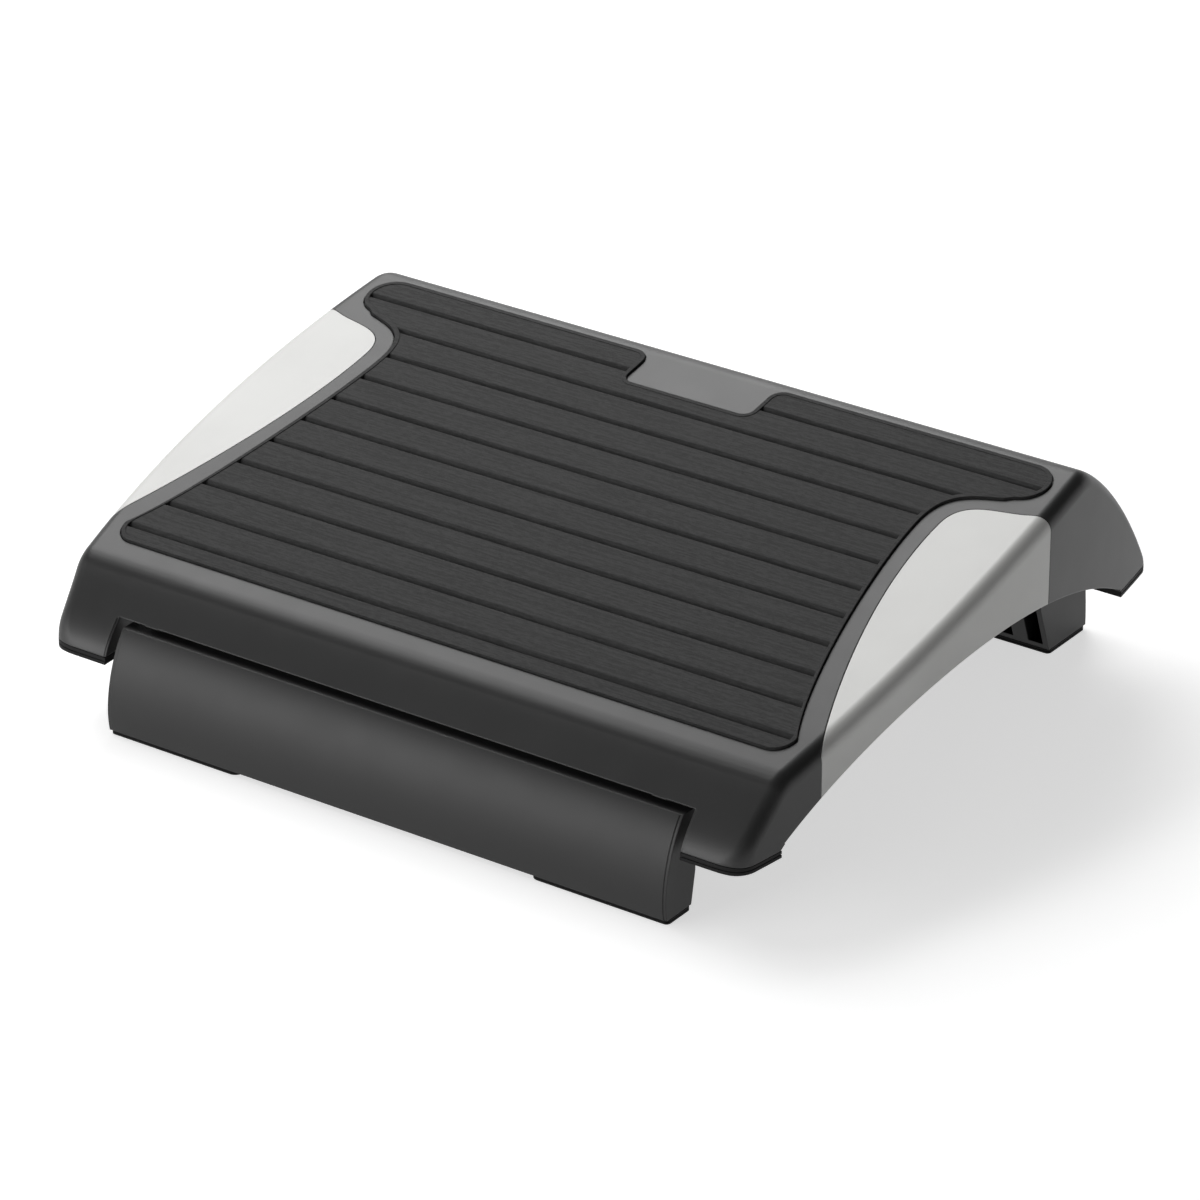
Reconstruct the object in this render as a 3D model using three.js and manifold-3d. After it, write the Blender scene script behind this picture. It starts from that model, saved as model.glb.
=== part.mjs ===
import * as THREE from 'three';
import { mergeVertices } from 'three/addons/utils/BufferGeometryUtils.js';
import Module from 'manifold-3d';

const wasm = await Module();
wasm.setup();

// A footrest that stands on two fold-out legs. Millimetres, X across, -Y towards the user, Z up.
// The origin is on the floor under the middle of the footrest.

// Platform, seen from above
const platformWidth = 452;
const sideBulge = 12.6;
const bulgeFrontReach = 150;
const bulgeRearReach = 170;
const bulgeMiddleY = -12;
const cornerRadius = 10;
const edgeRadius = 8;

// Platform, seen from the side
const platformDepth = 374.8;
const centreShift = 0.2;
const frontWallRun = 29.7;
const hoodRun = 84.6;
const frontFootZ = 35.8;
const rearFootZ = 49.5;
const frontWallRise = 41.6;
const hoodRise = 88.1;
const topCrown = 3.6;
const topEdgeRun = 6;
const frontWallY = centreShift - platformDepth / 2;
const rearWallY = centreShift + platformDepth / 2;
const frontTopY = frontWallY + frontWallRun;
const frontTopZ = frontFootZ + frontWallRise;
const rearTopY = rearWallY - hoodRun;
const rearTopZ = rearFootZ + hoodRise;
const frontWallShares = [[-0.01, 0.29], [0.69, 0.655]];
const hoodShares = [[0.35, 0.155], [0.765, 0.61]];

// Mouldings
const wall = 3;
const topWall = 4.4;
const gap = 0.3;
const overrun = 60;
const ribWall = 2;
const ribDepth = 14;
const ribShares = [0.41, 0.877];
const crossRibShares = [0.03, 0.376, 0.7, 1.05];

// Corner feet
const footThickness = 4;
const footPegRadius = 4;
const footPegLength = 5;
const frontFootLength = 28;
const rearFootLength = 38;

// Side arches between the corner feet
const archLap = 0.8;
const archFrontY = frontWallY + frontFootLength - archLap;
const archRearY = rearWallY - rearFootLength - 2 * archLap;
const archFrontRise = 2.6;
const archRearRise = 0.6;
const archStepRun = 3;
const archShares = [[0.266, 0.81], [0.708, 0.92]];
const archHeight = 65;

// Tread mat
const matThickness = 3.1;
const matProud = 1.2;
const matFrontMargin = 14.6;
const matRearMargin = 6.4;
const matSideMargin = 22.4;
const matWaistMargin = 60;
const matEarMargin = 16.6;
const matFrontY = frontTopY + matFrontMargin;
const matRearY = rearTopY - matRearMargin;
const matFrontHalfWidth = platformWidth / 2 - matSideMargin;
const matWaistHalfWidth = platformWidth / 2 - matWaistMargin;
const matEarHalfWidth = platformWidth / 2 - matEarMargin;
const matWaistRun = 63.6;
const matWaistY = matRearY - matWaistRun;
const matCornerRadius = 11;
const matEarRadius = 14.6;
const matSideShares = [[0.537, 0.218], [1, 0.798]];
const matShoulderRun = 29.9;
const matShoulderRise = 32.2;
const matShoulderShares = [[0, 0.776], [0.48, 0.839]];
const matGap = 0.6;
const matLip = 2.2;
const plateHalfWidth = 39;
const plateDepth = 26.6;
const plateInnerRadius = 6;
const plateOuterRadius = 8;
const groovePitch = 21.7;
const grooveWidth = 4.6;
const grooveDepth = 0.9;

// Silver side trims
const trimThickness = 2;
const trimFrontMargin = 10.7;
const trimRearMargin = 34.1;
const trimSideMargin = 9;
const trimWaistRim = 10.2;
const trimWaistLag = 1;
const trimFrontY = matFrontY + trimFrontMargin;
const trimRearY = matRearY - trimRearMargin;
const trimFrontHalfWidth = platformWidth / 2 - trimSideMargin;
const trimWaistHalfWidth = matWaistHalfWidth + trimWaistRim;
const trimWaistY = matWaistY + trimWaistLag;
const trimSideShares = [[0.515, 0.278], [1, 0.675]];
const trimShoulderRun = 37.8;
const trimShoulderRise = 25.9;
const trimShoulderShares = [[0, 0.947], [0.596, 0.75]];
const trimTailRun = 9;
const trimBossRadius = 3.5;
const trimSeatRadius = 6.5;
const trimSeatDepth = 3;
const trimSeatWall = 2.4;
const trimScrewShares = [0.217, 0.535, 0.864];

// Legs
const legSideMargin = 56;
const legHalfWidth = platformWidth / 2 - legSideMargin;
const legSideGap = 4.6;
const notchHalfWidth = legHalfWidth + legSideGap;
const legTopGap = 3.2;
const soleThickness = 2.3;
const solePegRadius = 4;
const solePegLength = 4;
const soleLength = 81;
const soleCorner = 5;
const soleOuterCorner = 2.5;
const legBayCount = 4;
const legShelf = 1.6;
const lipThickness = 1.6;
const lipGap = 0.8;
const lipOverlap = 2.4;
const armThickness = 8;
const armInset = 12;
const armOuterX = legHalfWidth - armInset;
const armInnerX = armOuterX - armThickness;

// Front leg, in from the front wall's foot and up from the corner feet or the floor
const frontLegTopRise = 18.2;
const frontLegTopInset = 9.6;
const frontLegFaceShares = [[0.683, 0.213], [1.278, 0.658]];
const frontLegFootReach = 3.8;
const frontLegBackTopInset = 19.5;
const frontLegBackInset = 20.2;
const frontLegBackHeight = 20;
const frontSoleReach = 2.8;
const frontSoleInset = 16.9;
const frontHingeInset = 38;
const frontHingeDepth = 17.5;
const frontArmEndInset = 12;
const frontArmEndDrop = 12;

// Rear leg, in from the rear wall's foot and up from the corner feet or the floor
const rearLegTopRise = 11.8;
const rearLegTopInset = 10.2;
const rearLegFaceShares = [[0.62, 0.19], [1, 0.5]];
const rearLegFootReach = 4.4;
const rearLegBackTopInset = 19;
const rearLegBackInset = 41.6;
const rearLegBackHeight = 29;
const rearSoleReach = 3.8;
const rearSoleInset = 32.1;
const rearHingeInset = 35;
const rearHingeDepth = 21;
const rearArmEndInset = 12.1;
const rearArmEndDrop = 14.3;

// Hinges
const pinRadius = 3;
const pinHeadRadius = 5;
const pinHeadThickness = 1.8;
const knuckleRadius = 6.3;
const saddleGap = 1.4;
const saddleThickness = 14;
const saddleOuterX = armInnerX - saddleGap;
const saddleInnerX = saddleOuterX - saddleThickness;
const saddleReach = 10;
const capThickness = 6.5;
const capScrewReach = 6.9;

// Screws
const screwRadius = 1.5;
const screwHeadHeight = 2.1;
const capScrewHeadRadius = 2.9;
const capScrewLength = 12;
const trimScrewHeadRadius = 5;
const trimScrewLength = 5.4;
const screwSlotWidth = 0.8;
const screwSlotDepth = 0.9;

// Facets
const wallSteps = 8;
const topSteps = 10;
const hoodSteps = 10;
const edgeSteps = 4;
const curveSteps = 10;
const roundSteps = 16;
const screwSteps = 8;
const mergeTolerance = 1e-5;

const materials = {
  shell: { color: 0x3b3b3c, roughness: 0.45, metalness: 0 },
  mat: { color: 0x2f2f30, roughness: 0.85, metalness: 0 },
  silver: { color: 0xc9c9c7, roughness: 0.35, metalness: 0.6 },
  rubber: { color: 0x151515, roughness: 0.7, metalness: 0 },
  steel: { color: 0xa8abb0, roughness: 0.3, metalness: 1 },
};

// Joins and cuts

// Closed mesh to solid, with its shared corners merged.
function toSolid(geometry) {
  const bare = geometry.clone();
  bare.deleteAttribute('normal');
  bare.deleteAttribute('uv');
  const merged = mergeVertices(bare, mergeTolerance);
  const mesh = new wasm.Mesh({
    numProp: 3,
    vertProperties: merged.attributes.position.array,
    triVerts: new Uint32Array(merged.index.array),
  });
  return new wasm.Manifold(mesh);
}

function toGeometry(solid) {
  const mesh = solid.getMesh();
  const geometry = new THREE.BufferGeometry();
  geometry.setAttribute('position', new THREE.BufferAttribute(mesh.vertProperties, 3));
  geometry.setIndex(new THREE.BufferAttribute(mesh.triVerts, 1));
  geometry.computeVertexNormals();
  return geometry;
}

// Outline drawn in Y and Z, extruded across the footrest from lowX to highX.
const acrossBasis = new THREE.Matrix4().makeBasis(
  new THREE.Vector3(0, 1, 0), new THREE.Vector3(0, 0, 1), new THREE.Vector3(1, 0, 0),
);

function across(shape, lowX, highX, steps = curveSteps) {
  const options = { depth: highX - lowX, bevelEnabled: false, curveSegments: steps };
  const geometry = new THREE.ExtrudeGeometry(shape, options);
  geometry.applyMatrix4(acrossBasis).translate(lowX, 0, 0);
  return toSolid(geometry);
}

// Outline drawn in X and Y, extruded upwards from lowZ to highZ.
function upwards(shape, lowZ, highZ, steps = curveSteps) {
  const options = { depth: highZ - lowZ, bevelEnabled: false, curveSegments: steps };
  const geometry = new THREE.ExtrudeGeometry(shape, options);
  geometry.translate(0, 0, lowZ);
  return toSolid(geometry);
}

function box(lowX, highX, lowY, highY, lowZ, highZ) {
  const geometry = new THREE.BoxGeometry(highX - lowX, highY - lowY, highZ - lowZ);
  geometry.translate((lowX + highX) / 2, (lowY + highY) / 2, (lowZ + highZ) / 2);
  return toSolid(geometry);
}

// Upright rod from lowZ to highZ.
function uprightRod(x, y, lowZ, highZ, radius, steps = roundSteps) {
  const geometry = new THREE.CylinderGeometry(radius, radius, highZ - lowZ, steps);
  geometry.rotateX(Math.PI / 2).translate(x, y, (lowZ + highZ) / 2);
  return toSolid(geometry);
}

// Rod across the footrest from lowX to highX.
function crossRod(y, z, lowX, highX, radius, steps = roundSteps) {
  const geometry = new THREE.CylinderGeometry(radius, radius, highX - lowX, steps);
  geometry.rotateZ(Math.PI / 2).translate((lowX + highX) / 2, y, z);
  return toSolid(geometry);
}

// Coordinate of a row of points at one depth, where the points go up in y
function readAt(points, y, coordinate) {
  const after = Math.max(points.findIndex((point) => point.y >= y), 1);
  const [low, high] = [points[after - 1], points[after]];
  const share = (y - low.y) / (high.y - low.y);
  return low[coordinate] + (high[coordinate] - low[coordinate]) * share;
}

function union(solids) {
  return solids.reduce((sum, solid) => sum.add(solid));
}

function mirrored(solid) {
  return solid.mirror([1, 0, 0]);
}

function bothSides(solid) {
  return solid.add(mirrored(solid));
}

// Shape of the platform

function topHeight(y) {
  const share = (y - frontTopY) / (rearTopY - frontTopY);
  return frontTopZ + (rearTopZ - frontTopZ) * share + 4 * topCrown * share * (1 - share);
}

function footHeight(y) {
  const share = (y - frontWallY) / (rearWallY - frontWallY);
  return frontFootZ + (rearFootZ - frontFootZ) * share;
}

function sideHalfWidth(y) {
  const reach = y < bulgeMiddleY ? bulgeFrontReach : bulgeRearReach;
  return platformWidth / 2 - sideBulge * ((y - bulgeMiddleY) / reach) ** 2;
}

// Curve between two corners whose two control points are shares of the run and the rise.
function sharedCurve(start, end, shares) {
  const at = ([run, rise]) => new THREE.Vector2(
    start.x + (end.x - start.x) * run, start.y + (end.y - start.y) * rise,
  );
  return new THREE.CubicBezierCurve(start, at(shares[0]), at(shares[1]), end);
}

// Side view of the outer surface from the front foot over the top to the rear foot.
// Each point has its height, and how far it belongs to the top.
function profilePoints() {
  const frontFoot = new THREE.Vector2(frontWallY, frontFootZ);
  const frontTop = new THREE.Vector2(frontTopY, topHeight(frontTopY));
  const rearTop = new THREE.Vector2(rearTopY, topHeight(rearTopY));
  const rearFoot = new THREE.Vector2(rearWallY, rearFootZ);
  const frontWall = sharedCurve(frontFoot, frontTop, frontWallShares);
  const hood = sharedCurve(rearTop, rearFoot, hoodShares);
  const frontStart = frontTopY + topEdgeRun;
  const rearEnd = rearTopY - topEdgeRun;
  const edgeShare = topEdgeRun / frontWall.getLength();
  const hoodEdgeShare = topEdgeRun / hood.getLength();
  const frontEdge = new THREE.QuadraticBezierCurve(
    frontWall.getPointAt(1 - edgeShare), frontTop,
    new THREE.Vector2(frontStart, topHeight(frontStart)),
  );
  const rearEdge = new THREE.QuadraticBezierCurve(
    new THREE.Vector2(rearEnd, topHeight(rearEnd)), rearTop, hood.getPointAt(hoodEdgeShare),
  );
  const points = [];
  const add = (point, top) => points.push({ y: point.x, z: point.y, top });
  for (let i = 0; i < wallSteps; i++) {
    add(frontWall.getPointAt((1 - edgeShare) * i / wallSteps), 0);
  }
  for (let i = 0; i < edgeSteps; i++) {
    add(frontEdge.getPoint(i / edgeSteps), i / edgeSteps);
  }
  for (let i = 0; i < topSteps; i++) {
    const y = frontStart + (rearEnd - frontStart) * i / topSteps;
    add(new THREE.Vector2(y, topHeight(y)), 1);
  }
  for (let i = 0; i < edgeSteps; i++) {
    add(rearEdge.getPoint(i / edgeSteps), 1 - i / edgeSteps);
  }
  for (let i = 0; i <= hoodSteps; i++) {
    add(hood.getPointAt(1 - (1 - hoodEdgeShare) * (1 - i / hoodSteps)), 0);
  }
  return points;
}

// The same side view, moved inwards by one depth on the walls and another on the top.
function insetProfile(wallInset, topInset) {
  const points = profilePoints();
  return points.map((point, i) => {
    const before = points[Math.max(i - 1, 0)];
    const after = points[Math.min(i + 1, points.length - 1)];
    const run = after.y - before.y;
    const rise = after.z - before.z;
    const length = Math.hypot(run, rise);
    const inset = wallInset + (topInset - wallInset) * point.top;
    return { y: point.y + rise / length * inset, z: point.z - run / length * inset };
  });
}

// How far a rounded corner draws a side in at this distance from the end wall.
function cornerInset(distance, radius) {
  if (distance >= radius) {
    return 0;
  }
  return radius - Math.sqrt(Math.max(radius ** 2 - (radius - distance) ** 2, 0));
}

// Cross-section of the platform at one place along its depth, anticlockwise from the user's side.
function crossSection(y, top, base, halfWidth, radius) {
  const round = Math.max(Math.min(radius, top - base, halfWidth), gap);
  const ring = [new THREE.Vector3(-halfWidth, y, base), new THREE.Vector3(halfWidth, y, base)];
  for (let i = 0; i <= edgeSteps; i++) {
    const angle = Math.PI / 2 * i / edgeSteps;
    const x = halfWidth - round + round * Math.cos(angle);
    ring.push(new THREE.Vector3(x, y, top - round + round * Math.sin(angle)));
  }
  for (let i = edgeSteps; i >= 0; i--) {
    const angle = Math.PI / 2 * i / edgeSteps;
    const x = halfWidth - round + round * Math.cos(angle);
    ring.push(new THREE.Vector3(-x, y, top - round + round * Math.sin(angle)));
  }
  return ring;
}

// Solid through a row of rings with equal numbers of points.
function loft(rings) {
  const count = rings[0].length;
  const indices = [];
  for (let i = 0; i < rings.length - 1; i++) {
    for (let j = 0; j < count; j++) {
      const next = (j + 1) % count;
      const here = i * count;
      const there = here + count;
      indices.push(here + j, there + j, here + next);
      indices.push(here + next, there + j, there + next);
    }
  }
  const last = (rings.length - 1) * count;
  for (let j = 1; j < count - 1; j++) {
    indices.push(0, j, j + 1);
    indices.push(last, last + j + 1, last + j);
  }
  const geometry = new THREE.BufferGeometry().setFromPoints(rings.flat());
  geometry.setIndex(indices);
  return toSolid(geometry);
}

// Everything under the platform's outer surface, moved inwards by the given depths.
function platformBody(wallInset, topInset, sideInset, grow = 0) {
  const points = insetProfile(wallInset, topInset);
  const front = points[0].y;
  const rear = points[points.length - 1].y;
  const radius = Math.max(cornerRadius - wallInset, gap);
  const rings = points.map(({ y, z }) => {
    const drawnIn = cornerInset(y - front, radius) + cornerInset(rear - y, radius);
    const halfWidth = sideHalfWidth(y) - sideInset - drawnIn + grow;
    return crossSection(y, z, footHeight(y) - overrun, halfWidth, edgeRadius - sideInset);
  });
  return loft(rings);
}

// Slab between two heights over the plane that the four corner feet stand in.
function footSlab(lowRise, highRise) {
  const shape = new THREE.Shape();
  const front = frontWallY - overrun;
  const rear = rearWallY + overrun;
  shape.moveTo(front, footHeight(front) + lowRise);
  shape.lineTo(rear, footHeight(rear) + lowRise);
  shape.lineTo(rear, footHeight(rear) + highRise);
  shape.lineTo(front, footHeight(front) + highRise);
  return across(shape, -platformWidth, platformWidth);
}

// Places of the two legs
const frontLeg = {
  name: 'front',
  out: -1,
  topY: frontWallY + frontLegTopInset,
  topZ: frontFootZ + frontLegTopRise,
  faceShares: frontLegFaceShares,
  faceFootY: frontWallY - frontLegFootReach,
  backTopY: frontWallY + frontLegBackTopInset,
  backY: frontWallY + frontLegBackInset,
  backZ: frontLegBackHeight,
  soleOuterY: frontWallY - frontSoleReach,
  soleInnerY: frontWallY + frontSoleInset,
  hingeY: frontWallY + frontHingeInset,
  hingeZ: readAt(profilePoints(), frontWallY + frontHingeInset, 'z') - frontHingeDepth,
  armEndY: frontWallY + frontArmEndInset,
  armEndZ: frontFootZ + frontLegTopRise - frontArmEndDrop,
};
const rearLeg = {
  name: 'rear',
  out: 1,
  topY: rearWallY - rearLegTopInset,
  topZ: rearFootZ + rearLegTopRise,
  faceShares: rearLegFaceShares,
  faceFootY: rearWallY + rearLegFootReach,
  backTopY: rearWallY - rearLegBackTopInset,
  backY: rearWallY - rearLegBackInset,
  backZ: rearLegBackHeight,
  soleOuterY: rearWallY + rearSoleReach,
  soleInnerY: rearWallY - rearSoleInset,
  hingeY: rearWallY - rearHingeInset,
  hingeZ: readAt(profilePoints(), rearWallY - rearHingeInset, 'z') - rearHingeDepth,
  armEndY: rearWallY - rearArmEndInset,
  armEndZ: rearFootZ + rearLegTopRise - rearArmEndDrop,
};

const tallest = rearTopZ + overrun;
const outerBody = platformBody(0, 0, 0);
const innerBody = platformBody(wall, topWall, wall);

// Outlines seen from above

// Tread mat, drawn smaller all round by the inset, with the cut-out that leaves the rear edge bare.
function matOutline(inset) {
  const front = matFrontY + inset;
  const rear = matRearY - inset;
  const frontHalf = matFrontHalfWidth - inset;
  const waistHalf = matWaistHalfWidth - inset;
  const earHalf = matEarHalfWidth - inset;
  const corner = matCornerRadius - inset;
  const ear = matEarRadius - inset;
  const plateHalf = plateHalfWidth + inset;
  const plateFront = matRearY - plateDepth - inset;
  const inner = plateInnerRadius + inset;
  const outer = plateOuterRadius - inset;
  const side = sharedCurve(
    new THREE.Vector2(frontHalf, front + corner + inset),
    new THREE.Vector2(waistHalf, matWaistY), matSideShares,
  );
  const shoulder = sharedCurve(
    new THREE.Vector2(waistHalf, matWaistY),
    new THREE.Vector2(waistHalf + matShoulderRun, matWaistY + matShoulderRise + inset),
    matShoulderShares,
  );
  const half = [
    ...arcPoints(frontHalf - corner, front + corner, corner, -90, 0, edgeSteps + 2),
    ...side.getPoints(curveSteps).slice(1),
    ...shoulder.getPoints(curveSteps).slice(1, -1),
    ...arcPoints(earHalf - ear, rear - ear, ear, -75, 90, curveSteps),
    ...arcPoints(plateHalf + outer, rear - outer, outer, 90, 180, edgeSteps),
    ...arcPoints(plateHalf - inner, plateFront + inner, inner, 0, -90, edgeSteps),
  ];
  return mirroredOutline(half);
}

function arcPoints(x, y, radius, fromDegrees, toDegrees, steps) {
  const points = [];
  for (let i = 0; i <= steps; i++) {
    const angle = THREE.MathUtils.degToRad(fromDegrees + (toDegrees - fromDegrees) * i / steps);
    points.push(new THREE.Vector2(x + radius * Math.cos(angle), y + radius * Math.sin(angle)));
  }
  return points;
}

function mirroredOutline(half) {
  const otherHalf = half.map((point) => new THREE.Vector2(-point.x, point.y)).reverse();
  return new THREE.Shape([...half, ...otherHalf]);
}

// Right-hand trim, drawn smaller by the clearance. It runs out past the side of the platform.
function trimOutline(clearance) {
  const front = trimFrontY + clearance;
  const rear = trimRearY - clearance;
  const waist = new THREE.Vector2(trimWaistHalfWidth + clearance, trimWaistY);
  const side = sharedCurve(
    new THREE.Vector2(trimFrontHalfWidth + clearance, front), waist, trimSideShares,
  );
  const shoulderEnd = new THREE.Vector2(
    trimWaistHalfWidth + trimShoulderRun, trimWaistY + trimShoulderRise - clearance,
  );
  const shoulder = sharedCurve(waist, shoulderEnd, trimShoulderShares);
  return new THREE.Shape([
    new THREE.Vector2(platformWidth, front),
    ...side.getPoints(curveSteps),
    ...shoulder.getPoints(curveSteps).slice(1),
    new THREE.Vector2(shoulderEnd.x + trimTailRun, rear),
    new THREE.Vector2(platformWidth, rear),
  ].reverse());
}

// Where the trim's inner edge runs at one place along the depth
function trimInnerX(y) {
  const start = new THREE.Vector2(trimFrontHalfWidth, trimFrontY);
  const waist = new THREE.Vector2(trimWaistHalfWidth, trimWaistY);
  const tail = new THREE.Vector2(trimWaistHalfWidth, trimRearY);
  const points = sharedCurve(start, waist, trimSideShares).getPoints(curveSteps);
  return readAt([...points, tail], y, 'x');
}

const trimScrewPlaces = trimScrewShares.map((share) => {
  const y = trimFrontY + (trimRearY - trimFrontY) * share;
  return [(trimInnerX(y) + sideHalfWidth(y)) / 2, y];
});

// Arch under each side wall, between the corner feet
function archCut() {
  const start = new THREE.Vector2(archFrontY, footHeight(archFrontY) + footThickness);
  const end = new THREE.Vector2(archRearY, footHeight(archRearY) + footThickness);
  const crownStart = new THREE.Vector2(start.x + archStepRun, start.y + archFrontRise);
  const crownEnd = new THREE.Vector2(end.x, end.y + archRearRise);
  const at = ([run, rise]) => new THREE.Vector2(
    crownStart.x + (crownEnd.x - crownStart.x) * run, crownStart.y + archHeight * rise,
  );
  const curve = new THREE.CubicBezierCurve(crownStart, at(archShares[0]), at(archShares[1]), crownEnd);
  return across(new THREE.Shape([
    new THREE.Vector2(start.x, start.y - overrun),
    new THREE.Vector2(end.x, end.y - overrun),
    ...curve.getPoints(2 * curveSteps).reverse(),
    start,
  ]), -platformWidth, platformWidth);
}

// Span from just outside a leg's knuckles to past the end wall
function behindHinge(leg) {
  const inner = leg.hingeY + leg.out * knuckleRadius;
  return leg.out < 0 ? [-platformWidth, inner] : [inner, platformWidth];
}

// Opening in an end wall that a leg folds out of
function legNotch(leg) {
  const [front, rear] = behindHinge(leg);
  return box(-notchHalfWidth, notchHalfWidth, front, rear, -overrun, leg.topZ + legTopGap);
}

// Span of one corner foot, front to back
function footSpan(leg) {
  const outer = leg.out * platformWidth;
  return leg.out < 0 ? [outer, frontWallY + frontFootLength] : [rearWallY - rearFootLength, outer];
}

// Right-hand corner: a floor for the foot and a wall that closes it off from the leg's opening
function cornerStructure(leg) {
  const [front, rear] = footSpan(leg);
  const floor = box(notchHalfWidth, platformWidth, front, rear, -overrun, tallest)
    .intersect(footSlab(footThickness, footThickness + wall));
  const side = box(notchHalfWidth, notchHalfWidth + wall, front, rear, -overrun, tallest)
    .intersect(footSlab(footThickness, tallest));
  return floor.add(side);
}

// Slab between two depths under the crowned top, as long as the top is
function topSlab(highDepth, lowDepth) {
  const places = Array.from({ length: topSteps + 1 },
    (_, i) => frontTopY + (rearTopY - frontTopY) * i / topSteps);
  const high = places.map((y) => new THREE.Vector2(y, topHeight(y) - highDepth));
  const low = places.map((y) => new THREE.Vector2(y, topHeight(y) - lowDepth));
  return across(new THREE.Shape([...low, ...high.reverse()]), -platformWidth, platformWidth);
}

// Grid of stiffening ribs under the top
function ribs() {
  const half = ribWall / 2;
  const span = (x) => box(x - half, x + half, -platformWidth, platformWidth, 0, tallest);
  const cross = (y) => box(-platformWidth, platformWidth, y - half, y + half, 0, tallest);
  const grid = union([
    ...ribShares.map((share) => bothSides(span(saddleInnerX * share))),
    ...crossRibShares.map((share) => cross(trimFrontY + (trimRearY - trimFrontY) * share)),
  ]);
  return grid.intersect(outerBody).intersect(topSlab(topWall / 2, topWall + ribDepth));
}

// Capsule seen from the side, from a leg's hinge to the inside of its panel
function armShape(leg, radius) {
  const run = leg.armEndY - leg.hingeY;
  const rise = leg.armEndZ - leg.hingeZ;
  const angle = Math.atan2(rise, run);
  const shape = new THREE.Shape();
  shape.absarc(leg.hingeY, leg.hingeZ, radius, angle + Math.PI / 2, angle + Math.PI * 3 / 2);
  shape.absarc(leg.armEndY, leg.armEndZ, radius, angle - Math.PI / 2, angle + Math.PI / 2);
  return shape;
}

// Rib between the end wall and a leg's arm that the unfolded leg bears on
function stopRib(leg) {
  const [front, rear] = behindHinge(leg);
  return box(armInnerX, armOuterX, front, rear, leg.topZ + legTopGap, leg.hingeZ + knuckleRadius)
    .intersect(outerBody)
    .subtract(across(armShape(leg, knuckleRadius + gap), armInnerX - gap, armOuterX + gap));
}

// Block under the top that the upper half of a hinge pin lies in
function saddle(leg) {
  const block = box(saddleInnerX, saddleOuterX, leg.hingeY - saddleReach, leg.hingeY + saddleReach,
    leg.hingeZ + gap / 2, tallest).intersect(outerBody);
  return { block, cuts: saddleHoles(leg) };
}

// The pin's bore and the holes of the cap's screws
function saddleHoles(leg) {
  const bore = crossRod(leg.hingeY, leg.hingeZ, saddleInnerX - gap, saddleOuterX + gap,
    pinRadius + gap);
  const holes = capScrewPlaces(leg).map(([x, y]) => screwHole(x, y, capScrewZ(leg),
    capScrewLength));
  return union([bore, ...holes]);
}

const saddleMiddleX = (saddleInnerX + saddleOuterX) / 2;

function capScrewPlaces(leg) {
  return [-1, 1].map((way) => [saddleMiddleX, leg.hingeY + way * capScrewReach]);
}

// Height of the underside of a screw's head
function capScrewZ(leg) {
  return leg.hingeZ - gap / 2 - capThickness - gap;
}

function screwHole(x, y, headZ, length) {
  return uprightRod(x, y, headZ, headZ + length + gap, screwRadius + gap, screwSteps);
}

// Pieces of the platform

const trimSeatInset = trimThickness + gap;
const trimInnerInset = trimSeatInset + trimSeatWall;
const trimSeatBody = platformBody(trimSeatInset, trimSeatInset, trimSeatInset);
const trimInnerBody = platformBody(trimInnerInset, trimInnerInset, trimInnerInset);

function trimSeatBottom(y) {
  return topHeight(y) - trimInnerInset - trimSeatDepth;
}

function platformShell() {
  const zone = upwards(trimOutline(0), 0, tallest);
  const thickZone = upwards(trimOutline(-2 * wall), 0, tallest);
  const cavity = innerBody.subtract(bothSides(thickZone.subtract(trimInnerBody)));
  let shell = outerBody.subtract(cavity).intersect(footSlab(footThickness, tallest));
  shell = shell.add(ribs());
  for (const leg of [frontLeg, rearLeg]) {
    shell = shell.add(bothSides(cornerStructure(leg)).intersect(outerBody));
    shell = shell.subtract(legNotch(leg));
    shell = shell.add(bothSides(stopRib(leg)));
    const { block, cuts } = saddle(leg);
    shell = shell.add(bothSides(block)).subtract(bothSides(cuts));
    for (const [x, y] of footPegPlaces(leg)) {
      const hole = uprightRod(x, y, -overrun, footHeight(y) + footThickness + footPegLength + gap,
        footPegRadius + gap);
      shell = shell.subtract(bothSides(hole));
    }
  }
  const matSeatDepth = matThickness - matProud + gap;
  const matSeat = upwards(matOutline(-matGap), 0, tallest)
    .subtract(platformBody(0, matSeatDepth, 0, overrun));
  shell = shell.subtract(matSeat);
  for (const [x, y] of trimScrewPlaces) {
    const seat = uprightRod(x, y, trimSeatBottom(y), topHeight(y), trimSeatRadius)
      .intersect(trimSeatBody);
    const hole = uprightRod(x, y, trimSeatBottom(y) - gap, tallest, trimBossRadius + gap);
    shell = shell.add(bothSides(seat)).subtract(bothSides(hole));
  }
  shell = shell.subtract(bothSides(zone.subtract(trimSeatBody)));
  return shell.subtract(archCut());
}

function footPegPlaces(leg) {
  const [front, rear] = footSpan(leg);
  const inner = leg.out < 0 ? rear : front;
  const x = (notchHalfWidth + sideHalfWidth(inner)) / 2;
  return [[x, inner + leg.out * 2 * footPegRadius]];
}

function cornerFoot(leg) {
  const [front, rear] = footSpan(leg);
  const block = box(notchHalfWidth, platformWidth, front, rear, -overrun, tallest);
  const sole = outerBody.intersect(footSlab(0, footThickness - gap)).intersect(block);
  const pegs = footPegPlaces(leg).map(([x, y]) => uprightRod(x, y, footHeight(y) + gap,
    footHeight(y) + footThickness + footPegLength, footPegRadius));
  return sole.add(union(pegs));
}

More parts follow.
